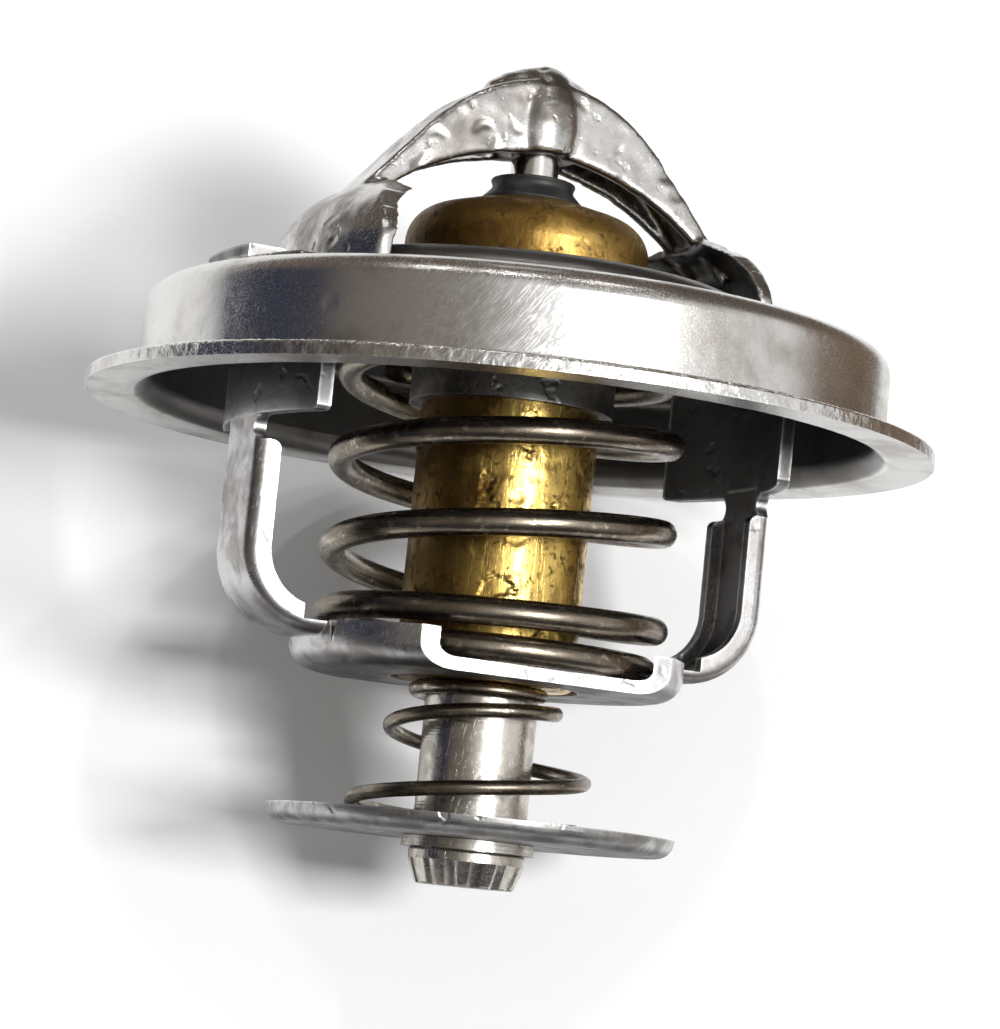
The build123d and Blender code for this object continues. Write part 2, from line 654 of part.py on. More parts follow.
def make_bypass_spring():
    """Conical spring with its small end under the can and its large end on the disc."""
    lift = CONE_WIRE / 2 + SPRING_SEAT
    bottom = BYPASS_TOP + lift
    top = CAN_BASE - lift
    height = top - bottom
    stations = [
        (0, CONE_D / 2, bottom),
        (0.3, CONE_D / 2, bottom),
        (0.65, CONE_D / 2, bottom + 0.2 * height),
        (1.65, CONE_TOP_R + CONE_FLARE, top - 0.17 * height),
        (2.5, CONE_TOP_R, top),
        (2.85, CONE_TOP_R, top),
    ]
    return coil(stations, CONE_WIRE, CONE_END - 360 * stations[-1][0])


# ---- bypass valve -----------------------------------------------------------------
def make_stem():
    """Turned stem, riveted into the can's floor, with a ring groove and a fluted tip."""
    bottom = CAN_BASE - STEM_LENGTH
    groove_top = RING_TOP + GROOVE_GAP
    groove_low = RING_Z - GROOVE_GAP
    land = groove_low - TIP_LAND
    corners = [
        (0, bottom),
        (TIP_R - TIP_TAPER, bottom),
        (TIP_R, land),
        (TIP_R, groove_low),
        (GROOVE_R, groove_low),
        (GROOVE_R, groove_top),
        (STEM_R, groove_top),
        (STEM_R, CAN_BASE),
        (PIN_R, CAN_BASE),
        (PIN_R, CAN_INSIDE),
        (RIVET_R, CAN_INSIDE),
        (RIVET_R, CAN_INSIDE + RIVET),
        (0, CAN_INSIDE + RIVET),
    ]
    radii = [0, 0.3, 0.1, 0.2, 0, 0, 0.1, 0, 0, 0, 0.1, 0.4, 0]
    stem = turned(corners, radii)
    lean = math.degrees(math.atan2(TIP_TAPER, land - bottom))
    middle_r = TIP_R - TIP_TAPER / 2
    flute = Cylinder(FLUTE_D / 2, 2 * (land - bottom))
    out = middle_r + FLUTE_D / 2 - FLUTE_DEPTH
    flute = Pos(out, 0, (land + bottom) / 2) * Rot(0, lean, 0) * flute
    below = Pos(0, 0, land - LIP_R) * Box(LIP_D, LIP_D, LIP_D)
    for number in range(TIP_FLUTES):
        stem = stem - (Rot(0, 0, 360 / TIP_FLUTES * number) * flute & below)
    return stem


def make_retaining_ring():
    """Open spring ring in the stem's groove, under the bypass disc."""
    outer = STEM_R + RING_REACH
    body = ring(outer, GROOVE_R + GROOVE_GAP, RING_Z, RING_TOP)
    slit = Pos(0, outer, (RING_Z + RING_TOP) / 2) * Box(RING_SLIT, 2 * outer, 2 * RING_HEIGHT)
    return body - slit


def make_bypass_disc():
    """Shallow pressed disc that slides on the stem, with a collar round its bore."""
    bore_r = STEM_R + STEM_CLEARANCE
    boss_r = bore_r + BYPASS_BOSS_WALL
    rim_r = BYPASS_D / 2
    rim_top = BYPASS_UNDER + BYPASS_RIM
    corners = [
        (bore_r, BYPASS_UNDER),
        (rim_r - 0.3 * BYPASS_RIM_WALL, BYPASS_UNDER),
        (rim_r, rim_top),
        (rim_r - BYPASS_RIM_WALL, rim_top),
        (rim_r - 1.6 * BYPASS_RIM_WALL, BYPASS_TOP),
        (boss_r, BYPASS_TOP),
        (boss_r, BYPASS_TOP + BYPASS_BOSS),
        (bore_r, BYPASS_TOP + BYPASS_BOSS),
    ]
    return turned(corners, [0.2, BYPASS_ROUND, 0, 0.1, 0.4, 0, 0.15, 0.1])


PIECES = {
    "flange": make_flange,
    "upper_bridge": make_bridge,
    "lower_frame": make_frame,
    "main_spring": make_main_spring,
    "piston": make_piston,
    "element_can": make_can,
    "element_cover": make_cover,
    "element_sleeve": make_sleeve,
    "backing_washer": make_washer,
    "wax_charge": make_wax,
    "piston_boot": make_boot,
    "valve_disc": make_valve_disc,
    "valve_seal": make_valve_seal,
    "bypass_stem": make_stem,
    "retaining_ring": make_retaining_ring,
    "bypass_spring": make_bypass_spring,
    "bypass_disc": make_bypass_disc,
}

os.makedirs("parts", exist_ok=True)
for name, make in PIECES.items():
    piece = make()
    piece.label = name
    export_step(piece, f"parts/{name}.step")
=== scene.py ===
# %% [markdown]
# # Dressing a coolant thermostat
#
# This lesson takes the solids of an engine's coolant thermostat and gives them the surfaces
# of the real thing. The part is a small machine of pressed steel. A drawn flange holds a
# bridge above it and a spring frame below it, and a brass can of wax works in between.
#
# The solids already have the right sizes, so they stay as they are. What is added here is
# what a press shop and a plating bath leave behind: grain, scratches, dents, burrs and
# stains. Two springs are wound again as smooth wire, because a spring has to shorten when
# the valve opens.

# %% Load the solids
import math

import bmesh
import bpy
from mathutils import Matrix, Vector, noise


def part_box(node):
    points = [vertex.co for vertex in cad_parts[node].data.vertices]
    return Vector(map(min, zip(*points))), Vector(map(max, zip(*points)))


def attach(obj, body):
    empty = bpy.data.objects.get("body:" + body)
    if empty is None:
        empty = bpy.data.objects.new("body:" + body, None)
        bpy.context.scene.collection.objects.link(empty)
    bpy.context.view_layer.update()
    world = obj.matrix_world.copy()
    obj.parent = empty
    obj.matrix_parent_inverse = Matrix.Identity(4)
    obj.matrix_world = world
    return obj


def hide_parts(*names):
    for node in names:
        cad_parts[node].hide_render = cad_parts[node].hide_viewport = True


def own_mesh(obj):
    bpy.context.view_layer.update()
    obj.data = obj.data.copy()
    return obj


MM = 0.001

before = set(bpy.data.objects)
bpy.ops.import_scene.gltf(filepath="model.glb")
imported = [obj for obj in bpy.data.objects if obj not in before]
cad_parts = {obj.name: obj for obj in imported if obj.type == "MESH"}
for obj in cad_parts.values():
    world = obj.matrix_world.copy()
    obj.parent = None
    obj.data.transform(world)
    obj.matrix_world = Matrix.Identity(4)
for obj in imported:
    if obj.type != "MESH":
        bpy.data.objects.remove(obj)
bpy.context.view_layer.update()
for name in sorted(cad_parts):
    low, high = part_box(name)

# %% [markdown]
# ## Small tools for node trees
#
# A material in Blender is a tree of nodes. They could be placed by hand in the shader
# editor, but a script is easier to repeat and to read. A few short helpers are enough: one
# adds a node and joins its inputs, one does arithmetic, one blends two colours, and one
# stretches a range of values. Places are given in millimetres, as on a drawing.

# %% Helpers for node trees
def add(tree, kind, inputs=None, **settings):
    """Adds a shader node, sets its options, and joins or fills its inputs by name."""
    node = tree.nodes.new("ShaderNode" + kind)
    for option, value in settings.items():
        setattr(node, option, value)
    for label, value in (inputs or {}).items():
        join(tree, value, node.inputs[label])
    return node


def join(tree, value, socket):
    """Links a socket to a socket, or writes a plain value into it."""
    if isinstance(value, bpy.types.NodeSocket):
        tree.links.new(value, socket)
    else:
        socket.default_value = value


def maths(tree, operation, *values, clamp=False):
    """One arithmetic node; the values are numbers or sockets."""
    node = add(tree, "Math", operation=operation, use_clamp=clamp)
    for value, socket in zip(values, node.inputs):
        join(tree, value, socket)
    return node.outputs[0]


def blend_colours(tree, share, first, second):
    """First colour where share is 0, second where it is 1."""
    node = add(tree, "Mix", data_type="RGBA")
    for value, number in ((share, 0), (first, 6), (second, 7)):
        join(tree, value, node.inputs[number])
    return node.outputs[2]


def spread(tree, value, low, high, to_low=0.0, to_high=1.0):
    """Stretches the range from low to high over another one, with soft ends."""
    inputs = {"Value": value, "From Min": low, "From Max": high,
              "To Min": to_low, "To Max": to_high}
    return add(tree, "MapRange", inputs, interpolation_type="SMOOTHSTEP").outputs[0]


def millimetres(tree):
    """Place on the part in millimetres, the same at every pose."""
    here = add(tree, "TexCoord").outputs["Object"]
    return add(tree, "VectorMath", {0: here, "Scale": 1 / MM}, operation="SCALE").outputs[0]


def scaled(tree, vector, factors):
    """A vector multiplied by another, part by part."""
    return add(tree, "VectorMath", {0: vector, 1: factors}, operation="MULTIPLY").outputs[0]


# %% [markdown]
# ## Effects as node groups
#
# The same few things happen to every metal piece: it is scratched, it is dented, it
# tarnishes and its edges wear bright. A node group is made once and has named inputs, so
# each material gives it its own values. The groups put out only masks and heights, and the
# shaders stay in the materials.

# %% Start a node group
def start_group(name, inputs, outputs):
    """An empty group with its named sockets, and the nodes at its two ends."""
    group = bpy.data.node_groups.new(name, "ShaderNodeTree")
    for label, kind, value in inputs:
        socket = group.interface.new_socket(
            label, in_out="INPUT", socket_type="NodeSocket" + kind
        )
        socket.default_value = value
    for label in outputs:
        group.interface.new_socket(label, in_out="OUTPUT", socket_type="NodeSocketFloat")
    given = group.nodes.new("NodeGroupInput").outputs
    result = group.nodes.new("NodeGroupOutput").inputs
    print(f"group {name}: {[label for label, _, _ in inputs]} to {outputs}")
    return group, given, result


def place(tree, group, **values):
    """Puts a group into a tree with its own values; words are joined by underscores."""
    node = add(tree, "Group", node_tree=group)
    for label, value in values.items():
        join(tree, value, node.inputs[label.replace("_", " ")])
    return node.outputs


# %% [markdown]
# ### Distance from the valve's axis
#
# Turned and drawn parts carry marks that run round one axis. This group gives each point
# its distance from that axis and its height, in millimetres. Marks round a disc are then a
# pattern of the distance alone, and a bright rim is a range of distances.

# %% Group: valve axis
valve_axis, given, result = start_group("Valve axis", [], ["Distance", "Height"])
spot = add(valve_axis, "SeparateXYZ", {0: millimetres(valve_axis)})
flat = add(valve_axis, "CombineXYZ", {0: spot.outputs[0], 1: spot.outputs[1]})
reach = add(valve_axis, "VectorMath", {0: flat.outputs[0]}, operation="LENGTH")
join(valve_axis, reach.outputs["Value"], result["Distance"])
join(valve_axis, spot.outputs[2], result["Height"])

# %% [markdown]
# ### Scratches
#
# Handling leaves fine straight scratches that share a direction. A picture of scratches
# could be painted, but noise that is stretched hard along one line gives the same thin
# strokes and never repeats. A high rarity leaves only a few of them.

# %% Group: scratches
scratches, given, result = start_group(
    "Scratches",
    [("Direction", "Vector", (0, 0, 0)), ("Length", "Float", 6), ("Width", "Float", 0.1),
     ("Rarity", "Float", 0.6)],
    ["Mask"],
)
turned_place = add(scratches, "VectorRotate", {"Vector": millimetres(scratches),
                                               "Rotation": given["Direction"]},
                   rotation_type="EULER_XYZ")
across = maths(scratches, "DIVIDE", 1.0, given["Width"])
along = maths(scratches, "DIVIDE", 1.0, given["Length"])
stretch = add(scratches, "CombineXYZ", {0: along, 1: across, 2: across}).outputs[0]
strokes = add(scratches, "TexNoise",
              {"Vector": scaled(scratches, turned_place.outputs[0], stretch),
               "Scale": 1.0, "Detail": 2.0, "Roughness": 0.6})
rare_end = maths(scratches, "ADD", given["Rarity"], 0.1)
join(scratches, spread(scratches, strokes.outputs[0], given["Rarity"], rare_end),
     result["Mask"])

# %% [markdown]
# ### Dents
#
# Pressed sheet is never quite flat. Tumbling against other parts leaves small dents here
# and there, and the press leaves gentle waves. Cells would spread the dents too evenly, so
# the low places of a noise are cut out instead. A slower noise gives the waves. The result
# is a height for a Bump node.

# %% Group: dents
dents, given, result = start_group(
    "Dents", [("Size", "Float", 2.0), ("Waves", "Float", 2.0)], ["Height"]
)
per_size = maths(dents, "DIVIDE", 1.0, given["Size"])
where = millimetres(dents)
pits = add(dents, "TexNoise", {"Vector": where, "Scale": per_size, "Detail": 2.0,
                               "Roughness": 0.45})
hollow = spread(dents, pits.outputs[0], 0.27, 0.40)
wave_scale = maths(dents, "MULTIPLY", per_size, 0.3)
slow = add(dents, "TexNoise", {"Vector": where, "Scale": wave_scale, "Detail": 1.0})
both = maths(dents, "MULTIPLY_ADD", slow.outputs[0], given["Waves"], hollow)
join(dents, both, result["Height"])

# %% [markdown]
# ### Tarnish
#
# Plated steel dulls and brass browns in cloudy patches that have ragged edges. Noise with
# many octaves has that shape. Cover is the share of the surface that the patches take.

# %% Group: tarnish
tarnish, given, result = start_group(
    "Tarnish",
    [("Size", "Float", 5.0), ("Cover", "Float", 0.5), ("Softness", "Float", 0.1)],
    ["Mask"],
)
per_size = maths(tarnish, "DIVIDE", 1.0, given["Size"])
clouds = add(tarnish, "TexNoise",
             {"Vector": millimetres(tarnish), "Scale": per_size, "Detail": 7.0,
              "Roughness": 0.62, "Distortion": 0.4})
middle = spread(tarnish, given["Cover"], 0.0, 1.0, 0.72, 0.28)
patch_start = maths(tarnish, "SUBTRACT", middle, given["Softness"])
patch_end = maths(tarnish, "ADD", middle, given["Softness"])
join(tarnish, spread(tarnish, clouds.outputs[0], patch_start, patch_end), result["Mask"])

# %% [markdown]
# ### Worn edges
#
# Sheared and folded edges are rubbed first, so they shine. A Bevel node asks what the
# surface would look like with rounded edges. Where its normal turns away from the true
# one, there is an edge. Noise breaks the line up, because wear is never even.

# %% Group: worn edges
worn_edges, given, result = start_group(
    "Worn edges", [("Width", "Float", 0.25), ("Break", "Float", 0.5)], ["Mask"]
)
in_metres = maths(worn_edges, "MULTIPLY", given["Width"], MM)
soft = add(worn_edges, "Bevel", {"Radius": in_metres}, samples=2)
true = add(worn_edges, "NewGeometry").outputs["Normal"]
turn = add(worn_edges, "VectorMath", {0: soft.outputs[0], 1: true}, operation="DOT_PRODUCT")
edge = spread(worn_edges, turn.outputs["Value"], 0.98, 0.80)
chips = add(worn_edges, "TexNoise",
            {"Vector": millimetres(worn_edges), "Scale": 1.6, "Detail": 4.0})
kept = spread(worn_edges, chips.outputs[0], 0.25, 0.6)
full = maths(worn_edges, "SUBTRACT", 1.0, given["Break"])
broken = maths(worn_edges, "MULTIPLY_ADD", kept, given["Break"], full)
join(worn_edges, maths(worn_edges, "MULTIPLY", edge, broken), result["Mask"])

# %% [markdown]
# ### Shaded faces
#
# Faces that look inwards or down get painted shade: a dark colour that stands in for the
# shade and the dark reflections inside the part. The way a face looks is its normal. The
# group compares the normal with the direction away from the axis, and with straight down.

# %% Group: shaded faces
shaded_faces, given, result = start_group("Shaded faces", [], ["Inward", "Downward"])
faces = add(shaded_faces, "NewGeometry").outputs["Normal"]
spot = add(shaded_faces, "SeparateXYZ", {0: millimetres(shaded_faces)})
flat = add(shaded_faces, "CombineXYZ", {0: spot.outputs[0], 1: spot.outputs[1]})
away = add(shaded_faces, "VectorMath", {0: flat.outputs[0]}, operation="NORMALIZE")
outward = add(shaded_faces, "VectorMath", {0: faces, 1: away.outputs[0]},
              operation="DOT_PRODUCT")
join(shaded_faces, spread(shaded_faces, outward.outputs["Value"], -0.25, -0.65),
     result["Inward"])
upward = add(shaded_faces, "SeparateXYZ", {0: faces}).outputs[2]
join(shaded_faces, spread(shaded_faces, upward, -0.4, -0.85), result["Downward"])

# %% [markdown]
# ### Grain
#
# At a very small scale each surface is sandy: plating crystals, mould texture or dust. It
# is a fine noise that goes to roughness and to bump.

# %% Group: grain
grain, given, result = start_group("Grain", [("Size", "Float", 0.15)], ["Value"])
per_size = maths(grain, "DIVIDE", 1.0, given["Size"])
fine = add(grain, "TexNoise", {"Vector": millimetres(grain), "Scale": per_size,
                               "Detail": 3.0, "Roughness": 0.7})
join(grain, fine.outputs[0], result["Value"])

# %% [markdown]
# ## Starting a material
#
# Every finish starts with a new material and its Principled shader, which holds colour,
# roughness and metal in one node. Small marks end as a height, and a Bump node turns it
# into a tilt of the surface. Real relief would need millions of faces, so it is kept for
# what shows in the outline.

# %% Start a material
def new_material(name, metallic):
    """A new material, its tree and its Principled shader."""
    material = bpy.data.materials.new(name)
    material.use_nodes = True
    tree = material.node_tree
    shader = tree.nodes["Principled BSDF"]
    shader.inputs["Metallic"].default_value = metallic
    return material, tree, shader


def add_bump(tree, shader, height, unit=MM):
    """Tilts the surface by a height, which counts millimetres if no other unit is given."""
    bump = add(tree, "Bump", {"Height": height, "Distance": unit, "Strength": 1.0})
    join(tree, bump.outputs[0], shader.inputs["Normal"])
    return bump


def dress(material, *names):
    """Gives CAD nodes this material in every slot."""
    for name in names:
        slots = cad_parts[name].material_slots
        for slot in slots:
            slot.material = material
        print(f"{name}: {material.name} in {len(slots)} slot(s)")


# %% [markdown]
# ## Pressed and plated steel
#
# The flange, the bridge, the frame and the discs are all pressed from bright plated sheet.
# They differ in how much they were worked. The flange was drawn and polished by the die,
# the bridge was folded hard and hammered. One function builds the common finish from the
# groups, and each piece asks for its own dents, scratches and tarnish.

# %% Steel finish
PAINTED_SHADE_COLOUR = (0.055, 0.052, 0.05, 1)
RUBBED_STEEL = (0.92, 0.92, 0.91, 1)
PAINTED_SHADE_REACH = (29.9, 29.3)  # the painted shade ends inside the flange's wall, mm from the axis


def steel_finish(name, bright, dull, size=5.0, cover=0.4, clean=0.16, stained=0.38,
                 dent=3.0, dent_depth=0.05, waves=2.5, scratch=(0.2, 0.5, 0.8), rarity=0.62,
                 scratch_depth=0.006, edge=0.25, shade_share=0.85, dark_zone=None):
    """Bright sheet with cloudy dullness, dents, two sets of scratches, worn edges, painted
    shade.
    """
    material, tree, shader = new_material(name, 1.0)
    clouds = place(tree, tarnish, Size=size, Cover=cover, Softness=0.12)["Mask"]
    rims = place(tree, worn_edges, Width=edge, Break=0.4)["Mask"] if edge else 0.0
    first = place(tree, scratches, Direction=scratch, Length=3.5, Width=0.05,
                  Rarity=rarity)["Mask"]
    crossing = tuple(a + 1.1 for a in scratch)
    second = place(tree, scratches, Direction=crossing, Length=8.0, Width=0.09,
                   Rarity=rarity + 0.08)["Mask"]
    strokes = maths(tree, "MAXIMUM", first, second)
    sand = place(tree, grain, Size=0.12)["Value"]

    # Painted shade: faces that look inwards or down, and any dark zone, are painted dark.
    face_shade = place(tree, shaded_faces)
    painted_shade = maths(tree, "MAXIMUM", face_shade["Inward"], face_shade["Downward"])
    reach = place(tree, valve_axis)["Distance"]
    painted_shade = maths(tree, "MULTIPLY", painted_shade, spread(tree, reach, *PAINTED_SHADE_REACH))
    painted_shade = maths(tree, "MAXIMUM", painted_shade, dark_zone(tree) if dark_zone else 0.0)
    painted_shade = maths(tree, "MULTIPLY", painted_shade, shade_share)
    colour = blend_colours(tree, clouds, bright + (1,), dull + (1,))
    colour = blend_colours(tree, painted_shade, colour, PAINTED_SHADE_COLOUR)
    colour = blend_colours(tree, rims, colour, RUBBED_STEEL)
    join(tree, colour, shader.inputs["Base Color"])
    rough = spread(tree, clouds, 0.0, 1.0, clean, stained)
    rough = maths(tree, "MULTIPLY_ADD", painted_shade, 0.15, rough)
    rough = maths(tree, "MULTIPLY_ADD", strokes, 0.12, rough)
    rough = maths(tree, "MULTIPLY_ADD", sand, 0.12, rough)
    join(tree, maths(tree, "SUBTRACT", rough, 0.06, clamp=True), shader.inputs["Roughness"])

    height = place(tree, dents, Size=dent, Waves=waves)["Height"]
    height = maths(tree, "MULTIPLY", height, dent_depth)
    height = maths(tree, "MULTIPLY_ADD", strokes, -scratch_depth, height)
    height = maths(tree, "MULTIPLY_ADD", sand, 0.004, height)
    bump = add_bump(tree, shader, height)
    return material, tree, height, bump


# %% [markdown]
# ### The flange
#
# Its wall is the smoothest surface on the part. The die drew it upwards and left a soft
# shine with long faint scratches across it. The cut edge of the lip is different: shears
# tore it, so it is rough and pale. The raised collar is painted dark as shade, and a
# lighter painted shade goes at the wall's foot and under the lip.

# %% Flange finish
COLLAR_EDGE = (19.4, 19.0)  # mm from the axis
BEYOND_WALL = (29.4, 30.2)
CUT_EDGE = (33.28, 33.42)
FOOT_TOP, FOOT_BOTTOM = (3.1, 2.2), (1.0, 1.2)  # heights in mm


def flange_painted_shade(tree):
    """Mask of painted shade on the collar, at the wall's foot and under the lip."""
    axis = place(tree, valve_axis)
    beyond_wall = spread(tree, axis["Distance"], *BEYOND_WALL)
    under_lip = maths(tree, "MULTIPLY", beyond_wall, place(tree, shaded_faces)["Downward"])
    wall_foot = maths(tree, "MULTIPLY", spread(tree, axis["Height"], *FOOT_TOP),
                      spread(tree, axis["Height"], *FOOT_BOTTOM))
    wall_foot = maths(tree, "MULTIPLY", wall_foot, beyond_wall)
    collar_and_foot_shade = spread(tree, axis["Distance"], *COLLAR_EDGE)
    collar_and_foot_shade = maths(tree, "MULTIPLY_ADD", wall_foot, 0.6, collar_and_foot_shade)
    return maths(tree, "MULTIPLY_ADD", under_lip, 0.42, collar_and_foot_shade)


flange_steel, tree, height, bump = steel_finish(
    "drawn_flange_steel", (0.72, 0.71, 0.69), (0.43, 0.405, 0.37), size=9.0, cover=0.4,
    clean=0.19, stained=0.27, dent=4.0, dent_depth=0.02, scratch=(0.3, 0.9, 0.5),
    rarity=0.54, scratch_depth=0.0018, dark_zone=flange_painted_shade,
)
cut = spread(tree, place(tree, valve_axis)["Distance"], *CUT_EDGE)
torn = add(tree, "TexNoise", {"Vector": millimetres(tree), "Scale": 1.1, "Detail": 4.0})
torn_edge = maths(tree, "MULTIPLY", cut, torn.outputs[0])
join(tree, maths(tree, "MULTIPLY_ADD", torn_edge, 0.16, height), bump.inputs["Height"])
dress(flange_steel, "flange")

# %% [markdown]
# ### The bridge and the frame
#
# Both were folded from the same sheet, and folding shows. The arms of the bridge are
# mottled with small dents, and the frame has longer, calmer waves.

# %% Bridge and frame finishes
SHOULDER_START = (-2.6, -0.8)  # heights in mm


def under_flange(tree):
    """Mask of painted shade on the frame's shoulders, which sit inside the flange."""
    return spread(tree, place(tree, valve_axis)["Height"], *SHOULDER_START, 0.0, 0.8)


bridge_steel = steel_finish(
    "hammered_bridge_steel", (0.64, 0.63, 0.62), (0.25, 0.232, 0.212), size=5.5, cover=0.5,
    clean=0.19, stained=0.30, dent=1.2, dent_depth=0.03, waves=4.0,
    scratch=(0.9, 0.2, 0.4), edge=0.15,
)[0]
dress(bridge_steel, "upper_bridge")
frame_steel = steel_finish(
    "folded_frame_steel", (0.58, 0.57, 0.57), (0.30, 0.285, 0.27), size=4.0, cover=0.45,
    clean=0.26, stained=0.38, dent=1.8, dent_depth=0.035, waves=5.0,
    scratch=(0.1, 1.3, 0.2), edge=0.4, dark_zone=under_flange,
)[0]
dress(frame_steel, "lower_frame")

# %% [markdown]
# ### Discs, stem and ring
#
# The valve disc and the bypass disc are stamped from duller sheet. The stem is turned on a
# lathe, so it is pewter grey with marks that run round it. The retaining ring is spring
# steel and the piston is ground smooth.

# %% Disc, stem, ring and piston finishes
disc_steel = steel_finish(
    "stamped_disc_steel", (0.50, 0.50, 0.49), (0.29, 0.285, 0.275), size=2.5, cover=0.5,
    clean=0.28, stained=0.42, dent=1.5, dent_depth=0.06,
)[0]
dress(disc_steel, "valve_disc", "bypass_disc")
stem_steel, tree, height, bump = steel_finish(
    "turned_stem_steel", (0.60, 0.57, 0.52), (0.42, 0.39, 0.34), size=2.5, cover=0.45,
    clean=0.22, stained=0.38, dent=2.2, dent_depth=0.02, scratch=(0.0, 1.5, 0.1), edge=0,
)
up_the_stem = place(tree, valve_axis)["Height"]
rounds = add(tree, "TexNoise", {"W": up_the_stem, "Scale": 5.0, "Detail": 3.0},
             noise_dimensions="1D").outputs[0]
join(tree, maths(tree, "MULTIPLY_ADD", rounds, 0.012, height), bump.inputs["Height"])
dress(stem_steel, "bypass_stem", "retaining_ring")
piston_steel = steel_finish(
    "ground_piston_steel", (0.74, 0.72, 0.68), (0.55, 0.52, 0.48), size=1.5, cover=0.3,
    clean=0.14, stained=0.26, dent=2.0, dent_depth=0.01, edge=0,
)[0]
dress(piston_steel, "piston", "backing_washer")


# %% [markdown]
# ## Brass that has been handled
#
# The can and its cover are deep-drawn brass. New brass is gold, but fingers and heat turn
# it brown in patches, and dark dirt stays in the dents. The colour is blended in steps:
# gold and tan by small patches and by streaks along the can, then brown by broad patches
# and by painted shade on the -X side, then dirt by specks. The brown places are also
# rougher. The -X side is painted darker brown as shade than the other side.

# %% Brass finish
BROWN_BRASS = (0.15, 0.085, 0.022, 1)
DIRT = (0.07, 0.045, 0.02, 1)
TAN_SHARE = 0.64  # tan is gold, this much darker
SHADED_SIDE = (-0.5, -7.0)  # from here on towards -X it is painted browner as shade, mm


def brass_finish(name, cover, size, gold):
    """Mottled gold brass with brown patina, painted side shade, dirt specks and soft dents.
    """
    material, tree, shader = new_material(name, 1.0)
    patina_and_side_shade = place(tree, tarnish, Size=size, Cover=cover, Softness=0.16)["Mask"]
    # Painted shade: towards -X the brass is painted browner, standing in for its darker
    # side.
    sideways = add(tree, "SeparateXYZ", {0: millimetres(tree)}).outputs[0]
    shaded_side = spread(tree, sideways, *SHADED_SIDE, 0.0, 0.95)
    patina_and_side_shade = maths(tree, "ADD", maths(tree, "MULTIPLY", patina_and_side_shade, 0.85), shaded_side, clamp=True)
    small = place(tree, tarnish, Size=size / 5, Cover=cover * 0.7, Softness=0.1)["Mask"]
    streaks = add(tree, "TexNoise",
                  {"Vector": scaled(tree, millimetres(tree), (1.1, 1.1, 0.16)),
                   "Scale": 1.0, "Detail": 5.0, "Roughness": 0.65})
    small = maths(tree, "MAXIMUM", small, spread(tree, streaks.outputs[0], 0.50, 0.60))
    specks = place(tree, tarnish, Size=0.8, Cover=0.36, Softness=0.06)["Mask"]
    specks = maths(tree, "MULTIPLY", specks, 0.85)

    tan = tuple(part * TAN_SHARE for part in gold)
    colour = blend_colours(tree, small, gold + (1,), tan + (1,))
    colour = blend_colours(tree, patina_and_side_shade, colour, BROWN_BRASS)
    colour = blend_colours(tree, specks, colour, DIRT)
    join(tree, colour, shader.inputs["Base Color"])
    rough = spread(tree, patina_and_side_shade, 0.0, 1.0, 0.24, 0.46)
    rough = maths(tree, "MULTIPLY_ADD", small, 0.10, rough)
    join(tree, maths(tree, "MULTIPLY_ADD", specks, 0.25, rough, clamp=True),
         shader.inputs["Roughness"])

    height = place(tree, dents, Size=1.1, Waves=3.0)["Height"]
    height = maths(tree, "MULTIPLY", height, 0.011)
    sand = place(tree, grain, Size=0.2)["Value"]
    height = maths(tree, "MULTIPLY_ADD", sand, 0.008, height)
    height = maths(tree, "MULTIPLY_ADD", small, -0.01, height)
    add_bump(tree, shader, height)
    return material


brass = brass_finish("handled_brass", cover=0.38, size=6.0, gold=(0.86, 0.60, 0.17))
dress(brass, "element_can")
cover_brass = brass_finish("browned_cover_brass", cover=0.62, size=6.0,
                           gold=(0.80, 0.52, 0.15))
dress(cover_brass, "element_cover")


# %% [markdown]
# ## Rubber and wax
#
# The seal, the boot and the sleeve are black rubber, and only the first two show. Rubber
# is moulded, so it has a fine skin, and it picks up pale dust. The wax is hidden in the
# can, but it has a waxy finish for anyone who opens the model up.

# %% Soft finishes
def moulded_finish(name, dark, pale, rough, grain_size, dust):
    """Moulded skin with a little sheen, fine grain and dusty patches."""
    material, tree, shader = new_material(name, 0.0)
    patches = place(tree, tarnish, Size=2.0, Cover=dust, Softness=0.2)["Mask"]
    sand = place(tree, grain, Size=grain_size)["Value"]
    join(tree, blend_colours(tree, patches, dark + (1,), pale + (1,)),
         shader.inputs["Base Color"])
    join(tree, maths(tree, "MULTIPLY_ADD", sand, 0.25, rough, clamp=True),
         shader.inputs["Roughness"])
    add_bump(tree, shader, sand, unit=0.02 * MM)
    return material


rubber = moulded_finish("black_rubber_skin", (0.010, 0.010, 0.011), (0.045, 0.043, 0.04),
                        rough=0.38, grain_size=0.18, dust=0.3)
dress(rubber, "valve_seal", "piston_boot", "element_sleeve")
wax = moulded_finish("copper_filled_wax", (0.45, 0.20, 0.08), (0.62, 0.32, 0.14),
                     rough=0.35, grain_size=0.4, dust=0.5)
dress(wax, "wax_charge")


# %% [markdown]
# ## Springs wound from wire
#
# A spring is wire laid along a helix. Blender has a Screw modifier that could turn a
# circle into one, but its pitch can't change along the way. Real springs have closed ends,
# so here rings of points are set along a path whose radius and height follow a short list
# of stations.

# %% The path of a spring
def between(stations, turn):
    """Radius and height at a turn, on straight lines from station to station."""
    for low, high in zip(stations, stations[1:]):
        if turn <= high[0] + 1e-9:
            share = (turn - low[0]) / (high[0] - low[0])
            return [a + (b - a) * share for a, b in zip(low[1:], high[1:])]
    return stations[-1][1:]


def softened(stations, turn, reach=0.12):
    """The average of nearby values, which rounds the joints between the stations."""
    end = stations[-1][0]
    near = [between(stations, min(max(turn + reach * k / 3, 0), end)) for k in range(-3, 4)]
    return [sum(values) / len(near) for values in zip(*near)]


def wire_ends(box, wire):
    """Heights of the wire's middle at the two ends of a spring's box, in millimetres."""
    low, high = box
    return low.z / MM + wire / 2, high.z / MM - wire / 2


